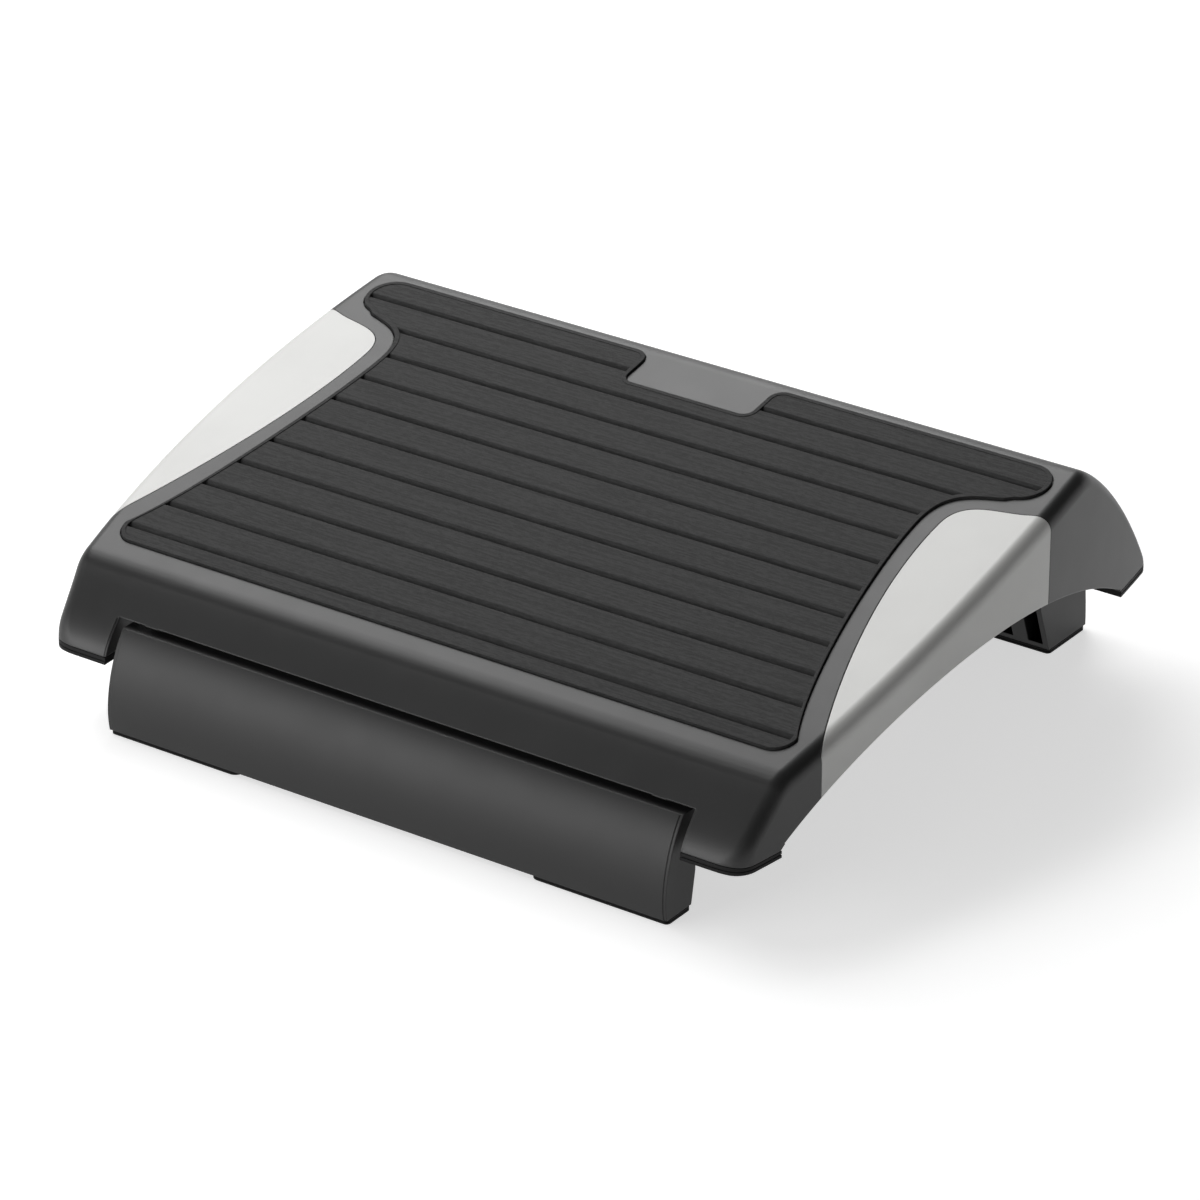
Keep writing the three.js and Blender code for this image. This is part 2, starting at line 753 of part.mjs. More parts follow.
function matGrooves() {
  const slope = Math.atan2(rearTopZ - frontTopZ, rearTopY - frontTopY);
  const run = groovePitch * Math.cos(slope);
  const steps = Array.from({ length: Math.floor((matRearY - matFrontY) / run) }, (_, i) => i + 1 / 2);
  return union(steps.map((step) => {
    const y = matFrontY + step * run;
    const z = topHeight(y) + matProud;
    const half = grooveWidth / 2;
    const rise = (topHeight(y + half) - topHeight(y - half)) / 2;
    const shape = new THREE.Shape();
    shape.moveTo(y - half, z - rise + gap);
    shape.lineTo(y - half, z - rise);
    shape.lineTo(y - half / 2, z - rise / 2 - grooveDepth);
    shape.lineTo(y + half / 2, z + rise / 2 - grooveDepth);
    shape.lineTo(y + half, z + rise);
    shape.lineTo(y + half, z + rise + gap);
    return across(shape, -platformWidth, platformWidth);
  }));
}

function treadMat() {
  const upper = platformBody(0, -matProud, 0, overrun);
  const lower = platformBody(0, matThickness - matProud, 0, overrun);
  const mat = upwards(matOutline(0), 0, tallest).intersect(upper).subtract(lower);
  const field = upwards(matOutline(matLip), 0, tallest);
  return mat.subtract(matGrooves().intersect(field));
}

function sideTrim() {
  const body = platformBody(trimThickness, trimThickness, trimThickness);
  const skin = upwards(trimOutline(gap), 0, tallest).intersect(outerBody).subtract(body);
  const bosses = trimScrewPlaces.map(([x, y]) => uprightRod(x, y, trimSeatBottom(y), topHeight(y),
    trimBossRadius).intersect(outerBody));
  const holes = trimScrewPlaces.map(([x, y]) => screwHole(x, y, trimScrewZ(y), trimScrewLength));
  return skin.add(union(bosses)).subtract(union(holes)).subtract(archCut());
}

function trimScrewZ(y) {
  return trimSeatBottom(y) - gap;
}

// Pieces of the legs

function legFacePoints(leg, inset) {
  const top = new THREE.Vector2(leg.topY, leg.topZ);
  const foot = new THREE.Vector2(leg.faceFootY, soleThickness + gap);
  const points = sharedCurve(top, foot, leg.faceShares).getPoints(curveSteps);
  return points.map((point) => new THREE.Vector2(point.x - leg.out * inset, point.y));
}

function legEndShape(leg) {
  const shapePoints = [
    ...legFacePoints(leg, 0),
    new THREE.Vector2(leg.soleInnerY, soleThickness + gap),
    new THREE.Vector2(leg.backY, leg.backZ),
    new THREE.Vector2(leg.backY, leg.armEndZ),
    new THREE.Vector2(leg.backTopY, leg.topZ),
  ];
  return new THREE.Shape(leg.out < 0 ? shapePoints : shapePoints.reverse());
}

// Hollow between a leg's face, its floor and the shelf along its top
function legBayShape(leg) {
  const face = legFacePoints(leg, wall);
  const floor = soleThickness + gap + wall;
  const ceiling = leg.topZ - legShelf;
  const shapePoints = [
    new THREE.Vector2(face[0].x, ceiling),
    ...face.filter((point) => point.y > floor && point.y < ceiling),
    new THREE.Vector2(leg.faceFootY - leg.out * 2 * wall, floor),
    new THREE.Vector2(leg.backY - leg.out * overrun, floor),
    new THREE.Vector2(leg.backY - leg.out * overrun, ceiling),
  ];
  return new THREE.Shape(leg.out < 0 ? shapePoints : shapePoints.reverse());
}

// Hollow spaces between a leg's ribs, arms and end walls, on its right-hand half
function legBays(leg) {
  const bayWidth = armInnerX / legBayCount;
  const bays = [across(legBayShape(leg), armOuterX, legHalfWidth - wall)];
  for (let i = 0; i < legBayCount; i++) {
    bays.push(across(legBayShape(leg), i * bayWidth + ribWall / 2, (i + 1) * bayWidth - ribWall / 2));
  }
  return union(bays);
}

function solePegPlaces(leg) {
  const y = (leg.soleOuterY + leg.soleInnerY) / 2;
  return [legHalfWidth - soleLength + 4 * solePegRadius, legHalfWidth - 4 * solePegRadius]
    .map((x) => [x, y]);
}

// Tongue between the saddles, along the top of a leg, that closes the gap under the end wall
// from inside
function legLip(leg) {
  const lipTop = leg.topZ + legTopGap + lipOverlap;
  const wallInside = insetProfile(wall, topWall)
    .filter(({ y, z }) => y * leg.out > 0 && z > lipTop)
    .reduce((lowest, point) => (point.z < lowest.z ? point : lowest));
  const outer = wallInside.y - leg.out * lipGap;
  const inner = outer - leg.out * lipThickness;
  const shapePoints = [
    new THREE.Vector2(leg.topY - leg.out * wall / 2, leg.topZ),
    new THREE.Vector2(leg.topY - leg.out * wall / 2, leg.topZ - lipOverlap),
    new THREE.Vector2(inner, leg.topZ - lipOverlap),
    new THREE.Vector2(inner, lipTop),
    new THREE.Vector2(outer, lipTop),
    new THREE.Vector2(outer, leg.topZ),
  ];
  const shape = new THREE.Shape(leg.out < 0 ? shapePoints : shapePoints.reverse());
  return across(shape, -saddleInnerX + saddleGap, saddleInnerX - saddleGap);
}

function legFrame(leg) {
  const solid = across(legEndShape(leg), -legHalfWidth, legHalfWidth);
  const arm = across(armShape(leg, knuckleRadius), armInnerX, armOuterX);
  const bore = crossRod(leg.hingeY, leg.hingeZ, armInnerX - gap, armOuterX + gap, pinRadius + gap);
  const pegHoles = solePegPlaces(leg).map(([x, y]) => uprightRod(x, y, 0,
    soleThickness + wall + solePegLength, solePegRadius + gap));
  return solid.subtract(bothSides(legBays(leg)))
    .add(bothSides(arm))
    .add(legLip(leg))
    .subtract(bothSides(bore))
    .subtract(bothSides(union(pegHoles)));
}

function legSole(leg) {
  const highX = legHalfWidth;
  const lowX = highX - soleLength;
  const [low, high] = [leg.soleOuterY, leg.soleInnerY].sort((a, b) => a - b);
  const shape = new THREE.Shape([
    ...arcPoints(lowX + soleCorner, low + soleCorner, soleCorner, 180, 270, edgeSteps),
    ...arcPoints(highX - soleOuterCorner, low + soleOuterCorner, soleOuterCorner, 270, 360, edgeSteps),
    ...arcPoints(highX - soleOuterCorner, high - soleOuterCorner, soleOuterCorner, 0, 90, edgeSteps),
    ...arcPoints(lowX + soleCorner, high - soleCorner, soleCorner, 90, 180, edgeSteps),
  ]);
  const pegs = solePegPlaces(leg).map(([x, y]) => uprightRod(x, y, gap,
    soleThickness + wall + solePegLength / 2, solePegRadius));
  return upwards(shape, 0, soleThickness).add(union(pegs));
}

// Hinge pieces and screws

// Headed pin lying across, with its head outside the leg's arm
function hingePin(leg) {
  const headX = armOuterX + gap;
  const headEnd = headX + pinHeadThickness;
  const profile = [
    [0, saddleInnerX], [pinRadius, saddleInnerX], [pinRadius, headX], [pinHeadRadius, headX],
    [pinHeadRadius, headEnd], [0, headEnd],
  ].map(([r, x]) => new THREE.Vector2(r, x));
  const geometry = new THREE.LatheGeometry(profile, roundSteps);
  geometry.rotateZ(-Math.PI / 2).translate(0, leg.hingeY, leg.hingeZ);
  return toSolid(geometry);
}

// Cap under a hinge pin, that closes the saddle above it
function hingeCap(leg) {
  const high = leg.hingeZ - gap / 2;
  const block = box(saddleInnerX, saddleOuterX, leg.hingeY - saddleReach, leg.hingeY + saddleReach,
    high - capThickness, high);
  return block.subtract(saddleHoles(leg));
}

// Slotted screw that points upwards, with the underside of its head at headZ
function screw(x, y, headZ, headRadius, length) {
  const profile = [
    [0, -screwHeadHeight], [headRadius / 2, -screwHeadHeight],
    [headRadius, -screwHeadHeight / 2], [headRadius, 0], [screwRadius, 0],
    [screwRadius, length - screwRadius], [0, length],
  ].map(([r, z]) => new THREE.Vector2(r, z));
  const geometry = new THREE.LatheGeometry(profile, screwSteps);
  geometry.rotateX(Math.PI / 2).translate(x, y, headZ);
  const slotLow = headZ - screwHeadHeight - gap;
  const slot = box(x - screwSlotWidth / 2, x + screwSlotWidth / 2, y - headRadius - gap,
    y + headRadius + gap, slotLow, slotLow + gap + screwSlotDepth);
  return toSolid(geometry).subtract(slot);
}

// The footrest

const footrest = new THREE.Group();

function addPiece(parent, name, solid, finish) {
  const mesh = new THREE.Mesh(toGeometry(solid), new THREE.MeshStandardMaterial(materials[finish]));
  mesh.name = name;
  parent.add(mesh);
}

function addPair(parent, name, solid, finish) {
  addPiece(parent, `${name}_right`, solid, finish);
  addPiece(parent, `${name}_left`, mirrored(solid), finish);
}

const platform = new THREE.Group();
footrest.add(platform);
addPiece(platform, 'platform_shell', platformShell(), 'shell');
addPiece(platform, 'tread_mat', treadMat(), 'mat');
addPair(platform, 'side_trim', sideTrim(), 'silver');
trimScrewPlaces.forEach(([x, y], i) => {
  const piece = screw(x, y, trimScrewZ(y), trimScrewHeadRadius, trimScrewLength);
  addPair(platform, `trim_screw_${i + 1}`, piece, 'steel');
});

for (const leg of [frontLeg, rearLeg]) {
  addPair(platform, `${leg.name}_corner_foot`, cornerFoot(leg), 'rubber');
  addPair(platform, `${leg.name}_hinge_cap`, hingeCap(leg), 'shell');
  capScrewPlaces(leg).forEach(([x, y], i) => {
    const piece = screw(x, y, capScrewZ(leg), capScrewHeadRadius, capScrewLength);
    addPair(platform, `${leg.name}_cap_screw_${i + 1}`, piece, 'steel');
  });
  const legGroup = new THREE.Group();
  footrest.add(legGroup);
  addPiece(legGroup, `${leg.name}_leg`, legFrame(leg), 'shell');
  addPair(legGroup, `${leg.name}_leg_sole`, legSole(leg), 'rubber');
  addPair(legGroup, `${leg.name}_hinge_pin`, hingePin(leg), 'steel');
}

export default footrest;
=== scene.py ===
import bpy
import numpy as np
from mathutils import Matrix, Vector


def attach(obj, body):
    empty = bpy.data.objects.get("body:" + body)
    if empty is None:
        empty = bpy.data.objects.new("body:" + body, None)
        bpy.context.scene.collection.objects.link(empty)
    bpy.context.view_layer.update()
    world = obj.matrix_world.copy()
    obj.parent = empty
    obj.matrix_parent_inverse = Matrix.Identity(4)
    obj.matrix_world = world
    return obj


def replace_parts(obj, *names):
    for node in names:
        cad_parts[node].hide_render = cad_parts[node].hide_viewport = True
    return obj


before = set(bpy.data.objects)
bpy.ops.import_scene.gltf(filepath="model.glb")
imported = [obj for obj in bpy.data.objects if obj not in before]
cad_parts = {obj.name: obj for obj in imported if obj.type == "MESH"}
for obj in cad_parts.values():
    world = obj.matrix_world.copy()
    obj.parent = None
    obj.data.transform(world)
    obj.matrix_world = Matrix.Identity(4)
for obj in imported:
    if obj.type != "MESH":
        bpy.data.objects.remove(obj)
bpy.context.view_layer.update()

scene = bpy.context.scene
MM = 0.001

# Camera
# A long lens looks down at the footrest from the front right, as in a catalogue picture.
# The whole footrest fits in a square picture, and nothing is out of focus.

camera_place = Vector((1.61297, -2.29370, 1.44862))
camera_turn_degrees = (63.425358, 0, 35.168193)
lens_mm = 185.3475
sensor_mm = 36
view_reach = 100

camera_data = bpy.data.cameras.new("camera")
camera_data.sensor_width = sensor_mm
camera_data.lens = lens_mm
camera_data.clip_end = view_reach
camera = bpy.data.objects.new("camera", camera_data)
camera.location = camera_place
camera.rotation_euler = np.radians(camera_turn_degrees)
scene.collection.objects.link(camera)
scene.camera = camera
scene.view_settings.view_transform = "Standard"

# Floor and light
# A round sweep of white paper, whose edge curves up into a low wall on all sides, in a dim grey room.
# A large soft box behind on the left lights the top, and one in front lights the legs.
# Two small ones pick out the front lip and the rear rim.

floor_radius_mm, floor_bend_mm, floor_wall_mm = 3400, 600, 500
floor_hole_mm, floor_bend_steps, floor_steps = 1, 12, 96
floor_white_hex = "dddddd"
floor_glow = 0.85
room_hex = "9a9a9a"
room_strength = 0.3


def linear_colour(hex_text, alpha=1.0):
    """sRGB hex to linear: divided by 12.92 when dark, otherwise a power of 2.4."""
    srgb = np.array([int(hex_text[i:i + 2], 16) for i in (0, 2, 4)]) / 255
    linear = np.where(srgb <= 0.04045, srgb / 12.92, ((srgb + 0.055) / 1.055) ** 2.4)
    return (*linear, alpha)


def add_node(tree, kind, links=None, **settings):
    """One shader node. Settings name a socket or a property, links give sockets to join."""
    node = tree.nodes.new(kind)
    for name, value in settings.items():
        socket = node.inputs.get(name.replace("_", " "))
        if hasattr(node, name):
            setattr(node, name, value)
        else:
            socket.default_value = value
    for name, source in (links or {}).items():
        tree.links.new(source, node.inputs[name])
    return node


def new_material(name):
    """Material with an empty node tree, and that tree."""
    material = bpy.data.materials.new(name)
    material.use_nodes = True
    material.node_tree.nodes.clear()
    return material, material.node_tree


def mesh_piece(name, points, faces):
    """Object from points in millimetres, with its place in its mesh."""
    mesh = bpy.data.meshes.new(name)
    mesh.from_pydata(np.asarray(points, float).reshape(-1, 3) * MM, [], faces)
    mesh.update()
    piece = bpy.data.objects.new(name, mesh)
    scene.collection.objects.link(piece)
    return piece


def revolved(name, radii, heights, steps):
    """Surface of a profile turned round the Z axis: x = r cos a, y = r sin a."""
    angles = np.linspace(0, 2 * np.pi, steps, endpoint=False)
    x = np.outer(radii, np.cos(angles))
    y = np.outer(radii, np.sin(angles))
    z = np.repeat(np.asarray(heights, float)[:, None], steps, axis=1)
    i, j = np.mgrid[0:len(radii) - 1, 0:steps]
    k = (j + 1) % steps
    faces = np.stack([i * steps + j, i * steps + k, (i + 1) * steps + k, (i + 1) * steps + j], -1)
    return mesh_piece(name, np.stack([x, y, z], -1), faces.reshape(-1, 4).tolist())


bend = np.linspace(0, np.pi / 2, floor_bend_steps + 1)
floor_outside_mm = floor_radius_mm + floor_bend_mm
floor_radii = [floor_hole_mm, *(floor_radius_mm + floor_bend_mm * np.sin(bend)), floor_outside_mm]
floor_heights = [0, *(floor_bend_mm * (1 - np.cos(bend))), floor_bend_mm + floor_wall_mm]
floor = revolved("floor", floor_radii, floor_heights, floor_steps)
floor_material, tree = new_material("white_paper")
paper = add_node(tree, "ShaderNodeBsdfDiffuse", Color=linear_colour(floor_white_hex))
# The glow shows only to the camera and in glossy or clear surfaces, so it doesn't light the footrest.
ray = add_node(tree, "ShaderNodeLightPath")
seen = add_node(tree, "ShaderNodeMath", {0: ray.outputs["Is Camera Ray"], 1: ray.outputs["Is Glossy Ray"]},
                operation="MAXIMUM")
seen = add_node(tree, "ShaderNodeMath", {0: seen.outputs[0], 1: ray.outputs["Is Transmission Ray"]},
                operation="MAXIMUM")
strength = add_node(tree, "ShaderNodeMath", {0: seen.outputs[0]}, operation="MULTIPLY")
strength.inputs[1].default_value = floor_glow
glow = add_node(tree, "ShaderNodeEmission", {"Strength": strength.outputs[0]},
                Color=linear_colour(floor_white_hex))
both = add_node(tree, "ShaderNodeAddShader")
tree.links.new(paper.outputs[0], both.inputs[0])
tree.links.new(glow.outputs[0], both.inputs[1])
add_node(tree, "ShaderNodeOutputMaterial", {"Surface": both.outputs[0]})
floor.data.materials.append(floor_material)
floor.data.shade_smooth()

world = bpy.data.worlds.new("room")
scene.world = world
world.use_nodes = True
world.node_tree.nodes["Background"].inputs["Color"].default_value = linear_colour(room_hex)
world.node_tree.nodes["Background"].inputs["Strength"].default_value = room_strength

footrest_middle = (0, 0, 0.06)


def soft_box(name, place, size, watts, target=footrest_middle):
    """Flat lamp with its place and two sizes in metres, turned to face the target."""
    light = bpy.data.lights.new(name, "AREA")
    light.shape = "RECTANGLE"
    light.size, light.size_y = size
    light.energy = watts
    lamp = bpy.data.objects.new(name, light)
    lamp.location = place
    lamp.rotation_euler = (Vector(target) - Vector(place)).to_track_quat("-Z", "Y").to_euler()
    lamp.visible_camera = False
    scene.collection.objects.link(lamp)


soft_box("rear_left_box", (-1.68, 1.2, 2.1), (2.6, 1.5), 55)
soft_box("front_box", (-1.5, -2.4, 0.7), (2.2, 1.0), 35)
soft_box("front_top_box", (-1.18, -0.3, 1.96), (1.2, 0.5), 9)
soft_box("rear_low_box", (-1.5, 2.1, 1.3), (1.2, 0.7), 6)

# Platform shell
# One injection moulding of black ABS: a crowned top that rolls over into the front wall and a rear hood.
# It is thin walled and open underneath, stiffened by ribs, with a spark-eroded satin outside.

platform_width, platform_depth, centre_shift = 452, 374.8, 0.2
front_wall_run, hood_run = 29.7, 84.6
front_foot_z, rear_foot_z = 35.8, 49.5
front_wall_rise, hood_rise = 41.6, 88.1
side_bulge, bulge_middle_y = 12.6, -12
bulge_front_reach, bulge_rear_reach = 150, 170
corner_radius, edge_radius = 10, 8
top_crown, top_edge_run = 3.6, 6
front_wall_shares = ((-0.01, 0.29), (0.69, 0.655))
hood_shares = ((0.35, 0.155), (0.765, 0.61))
wall, top_wall, gap, beyond = 3, 4.4, 0.3, 60
front_wall_y = centre_shift - platform_depth / 2
rear_wall_y = centre_shift + platform_depth / 2
front_top_y, front_top_z = front_wall_y + front_wall_run, front_foot_z + front_wall_rise
rear_top_y, rear_top_z = rear_wall_y - hood_run, rear_foot_z + hood_rise
tallest = rear_top_z + beyond
wall_rings, edge_rings, top_rings, hood_rings, round_steps = 30, 10, 30, 44, 10


def cubic(start, first, second, end, steps):
    """Cubic curve from a start to an end, drawn towards two inner control points on its way."""
    t = np.linspace(0, 1, steps + 1)[:, None]
    return (1 - t) ** 3 * start + 3 * (1 - t) ** 2 * t * first + 3 * (1 - t) * t ** 2 * second + t ** 3 * end


def bezier(start, end, shares, steps):
    """Cubic curve whose two inner control points are shares of its run and rise."""
    start, end = np.asarray(start, float), np.asarray(end, float)
    first, second = start + (end - start) * shares[0], start + (end - start) * shares[1]
    return cubic(start, first, second, end, steps)


def parabola(start, corner, end, t):
    """Curve that leaves its start towards the corner and reaches its end from there."""
    return (1 - t) ** 2 * start + 2 * t * (1 - t) * np.array(corner) + t ** 2 * end


def even_points(points, count, cut_start=0, cut_end=0):
    """Points spaced evenly along a fine line, after cutting a length off each end."""
    length = np.concatenate([[0], np.cumsum(np.hypot(*np.diff(points, axis=0).T))])
    wanted = np.linspace(cut_start, length[-1] - cut_end, count)
    return np.stack([np.interp(wanted, length, points[:, i]) for i in (0, 1)], -1)


def top_height(y):
    """Straight slope from the front edge to the rear edge, plus a parabola for the crown."""
    share = (np.asarray(y) - front_top_y) / (rear_top_y - front_top_y)
    return front_top_z + (rear_top_z - front_top_z) * share + 4 * top_crown * share * (1 - share)


def foot_height(y):
    """Sloping plane that the four corner feet stand in."""
    share = (np.asarray(y) - front_wall_y) / (rear_wall_y - front_wall_y)
    return front_foot_z + (rear_foot_z - front_foot_z) * share


def side_half_width(y):
    """Half the width, less a parabola towards the front and another towards the rear."""
    reach = np.where(np.asarray(y) < bulge_middle_y, bulge_front_reach, bulge_rear_reach)
    return platform_width / 2 - side_bulge * ((y - bulge_middle_y) / reach) ** 2


def side_view():
    """Outer line in Y and Z from the front foot over the top to the rear foot, and how far each point is top.

    Each edge between a wall and the top is a parabola that starts and ends one edge run from the corner.
    """
    fine = 600
    front_wall = bezier((front_wall_y, front_foot_z), (front_top_y, front_top_z), front_wall_shares, fine)
    hood = bezier((rear_top_y, rear_top_z), (rear_wall_y, rear_foot_z), hood_shares, fine)
    wall_line = even_points(front_wall, wall_rings + 1, 0, top_edge_run)
    hood_line = even_points(hood, hood_rings + 1, top_edge_run, 0)
    y = np.linspace(front_top_y + top_edge_run, rear_top_y - top_edge_run, top_rings + 1)
    top_line = np.stack([y, top_height(y)], -1)
    t = np.linspace(0, 1, edge_rings + 1)[:-1, None]
    front_edge = parabola(wall_line[-1], (front_top_y, front_top_z), top_line[0], t)
    rear_edge = parabola(top_line[-1], (rear_top_y, rear_top_z), hood_line[0], t)
    line = np.concatenate([wall_line[:-1], front_edge, top_line[:-1], rear_edge, hood_line])
    top = np.concatenate([np.zeros(wall_rings), t[:, 0], np.ones(top_rings), 1 - t[:, 0],
                          np.zeros(hood_rings + 1)])
    return line, top


def inset_view(wall_inset, top_inset):
    """The same line moved square to itself, by one depth on the walls and another on the top."""
    line, top = side_view()
    ends = np.concatenate([line[:1], line, line[-1:]])
    run, rise = (ends[2:] - ends[:-2]).T
    inset = (wall_inset + (top_inset - wall_inset) * top) / np.hypot(run, rise)
    return line + np.stack([rise, -run], -1) * inset[:, None]


def corner_inset(distance, radius):
    """Arc in plan: the radius less the root of its square minus the square of the way to its centre."""
    into = np.clip(radius - distance, 0, radius)
    return radius - np.sqrt(radius ** 2 - into ** 2)


def solid_piece(name, points, faces):
    """Closed mesh with its faces turned outwards, as they are when its signed volume is above 0."""
    points = np.asarray(points, float).reshape(-1, 3)
    corners = np.array([(f[0], f[i], f[i + 1]) for f in faces for i in range(1, len(f) - 1)])
    a, b, c = (points[corners[:, i]] for i in range(3))
    inside_out = np.einsum("ij,ij->", a, np.cross(b, c)) < 0
    return mesh_piece(name, points, [face[::-1] for face in faces] if inside_out else faces)


def tube(name, rings):
    """Closed solid through equal rings of points, with flat ends."""
    count, around = rings.shape[:2]
    i, j = np.mgrid[0:count - 1, 0:around]
    k = (j + 1) % around
    sides = np.stack([i * around + j, (i + 1) * around + j, (i + 1) * around + k, i * around + k], -1)
    first = list(range(around))
    last = list(range((count - 1) * around, count * around))[::-1]
    return solid_piece(name, rings, [first, last, *sides.reshape(-1, 4).tolist()])


def platform_body(wall_inset, top_inset, side_inset, grow=0):
    """Everything under the outer surface: each ring has upright sides and quarter-circle edges."""
    y, z = inset_view(wall_inset, top_inset).T
    radius = max(corner_radius - wall_inset, gap)
    half = side_half_width(y) - side_inset + grow
    half = half - corner_inset(y - y[0], radius) - corner_inset(y[-1] - y, radius)
    angle = np.linspace(0, np.pi / 2, round_steps + 1)
    rounding = edge_radius - side_inset
    x = half[:, None] - rounding * (1 - np.cos(angle))
    up = z[:, None] - rounding * (1 - np.sin(angle))
    base = (foot_height(y) - beyond)[:, None]
    ring_x = np.concatenate([-half[:, None], half[:, None], x, -x[:, ::-1]], axis=1)
    ring_z = np.concatenate([base, base, up, up[:, ::-1]], axis=1)
    return tube("body", np.stack([ring_x, np.repeat(y[:, None], ring_x.shape[1], axis=1), ring_z], -1))


def across(outline, *places):
    """Outline in Y and Z, carried straight across the footrest with a ring at each X place."""
    outline = np.asarray(outline, float)
    rings = [np.column_stack([np.full(len(outline), x), outline]) for x in places]
    return tube("across", np.stack(rings))


def upwards(outline, low_z, high_z):
    """Outline in X and Y, carried straight up."""
    outline = np.asarray(outline, float)
    rings = [np.column_stack([outline, np.full(len(outline), z)]) for z in (low_z, high_z)]
    return tube("upwards", np.stack(rings))


def block(low_x, high_x, low_y, high_y, low_z, high_z):
    """Box between two places on each axis."""
    return across([(low_y, low_z), (high_y, low_z), (high_y, high_z), (low_y, high_z)], low_x, high_x)


def arc(x, y, radius, start_degrees, end_degrees, steps):
    """Circle points: centre plus radius times cosine and sine."""
    angle = np.radians(np.linspace(start_degrees, end_degrees, steps + 1))
    return np.stack([x + radius * np.cos(angle), y + radius * np.sin(angle)], -1)


def upright_rod(x, y, low_z, high_z, radius, steps=32):
    """Cylinder along Z round a place in X and Y."""
    return upwards(arc(x, y, radius, 0, 360, steps)[:-1], low_z, high_z)


def cross_rod(y, z, low_x, high_x, radius, steps=48):
    """Cylinder along X round a place in Y and Z."""
    return across(arc(y, z, radius, 0, 360, steps)[:-1], low_x, high_x)


def both_sides(piece):
    """Adds a piece's mirror image to it: X changes sign and every face is turned round."""
    mesh = piece.data
    points = np.empty(len(mesh.vertices) * 3)
    mesh.vertices.foreach_get("co", points)
    points = points.reshape(-1, 3)
    faces = [list(face.vertices) for face in mesh.polygons]
    mirrored = [[i + len(points) for i in face[::-1]] for face in faces]
    both = bpy.data.meshes.new(piece.name)
    both.from_pydata(np.concatenate([points, points * (-1, 1, 1)]), [], faces + mirrored)
    piece.data = both
    bpy.data.meshes.remove(mesh)
    return piece


def combine(piece, tool, operation):
    """Joins, cuts or intersects a piece with a tool solid, which is used up."""
    modifier = piece.modifiers.new("combine", "BOOLEAN")
    modifier.operation = operation
    modifier.solver = "MANIFOLD"
    modifier.object = tool
    made = bpy.data.meshes.new_from_object(piece.evaluated_get(bpy.context.evaluated_depsgraph_get()))
    piece.modifiers.clear()
    old = piece.data
    piece.data = made
    bpy.data.meshes.remove(old)
    tool_mesh = tool.data
    bpy.data.objects.remove(tool)
    bpy.data.meshes.remove(tool_mesh)
    return piece


def cut(piece, *tools):
    """Takes each tool out of the piece."""
    for tool in tools:
        combine(piece, tool, "DIFFERENCE")
    return piece


def join(piece, *tools):
    """Adds each tool to the piece."""
    for tool in tools:
        combine(piece, tool, "UNION")
    return piece


def keep_inside(piece, *tools):
    """Keeps only what lies inside every tool."""
    for tool in tools:
        combine(piece, tool, "INTERSECT")
    return piece


def outer_body():
    """The platform's full outer form, solid down to below its feet."""
    return platform_body(0, 0, 0)


def foot_slab(low_rise, high_rise):
    """Slab between two heights over the plane of the corner feet."""
    ends = np.array([front_wall_y - beyond, rear_wall_y + beyond])
    low = np.stack([ends, foot_height(ends) + low_rise], -1)
    high = np.stack([ends, foot_height(ends) + high_rise], -1)
    return across([*low, *high[::-1]], -platform_width, platform_width)


# Sizes of the legs that the shell's openings and hinges follow
leg_side_margin, leg_side_gap, leg_top_gap = 56, 4.6, 3.2
leg_half_width = platform_width / 2 - leg_side_margin
notch_half_width = leg_half_width + leg_side_gap
arm_thickness, arm_inset = 8, 12
arm_outer_x = leg_half_width - arm_inset
arm_inner_x = arm_outer_x - arm_thickness
knuckle_radius, pin_radius = 6.3, 3
saddle_gap, saddle_thickness, saddle_reach = 1.4, 14, 10
saddle_outer_x = arm_inner_x - saddle_gap
saddle_inner_x = saddle_outer_x - saddle_thickness
cap_thickness, cap_screw_reach = 6.5, 6.9
screw_radius, cap_screw_length = 1.5, 12


class Leg:
    """Places of one leg, which stands out towards the front when out is -1 and the rear when it is 1.

    Insets run in from the foot of its end wall, reaches run out from it, and rises run up from the feet.
    """

    def __init__(self, name, out, wall_y, foot_z, top, face_shares, foot_reach, back, sole, hinge, arm_end):
        self.name, self.out, self.face_shares = name, out, face_shares
        top_rise, top_inset = top
        back_top_inset, back_inset, self.back_z = back
        sole_reach, sole_inset = sole
        hinge_inset, hinge_depth = hinge
        arm_end_inset, arm_end_drop = arm_end
        self.top_y, self.top_z = wall_y - out * top_inset, foot_z + top_rise
        self.face_foot_y = wall_y + out * foot_reach
        self.back_top_y, self.back_y = wall_y - out * back_top_inset, wall_y - out * back_inset
        self.sole_outer_y, self.sole_inner_y = wall_y + out * sole_reach, wall_y - out * sole_inset
        self.hinge_y = wall_y - out * hinge_inset
        self.hinge_z = np.interp(self.hinge_y, *side_view()[0].T) - hinge_depth
        self.arm_end_y, self.arm_end_z = wall_y - out * arm_end_inset, self.top_z - arm_end_drop


front_leg = Leg("front", out=-1, wall_y=front_wall_y, foot_z=front_foot_z, top=(18.2, 9.6),
                face_shares=((0.683, 0.213), (1.278, 0.658)), foot_reach=3.8, back=(19.5, 20.2, 20),
                sole=(2.8, 16.9), hinge=(38, 17.5), arm_end=(12, 12))
rear_leg = Leg("rear", out=1, wall_y=rear_wall_y, foot_z=rear_foot_z, top=(11.8, 10.2),
               face_shares=((0.62, 0.19), (1, 0.5)), foot_reach=4.4, back=(19, 41.6, 29),
               sole=(3.8, 32.1), hinge=(35, 21), arm_end=(12.1, 14.3))
legs = (front_leg, rear_leg)

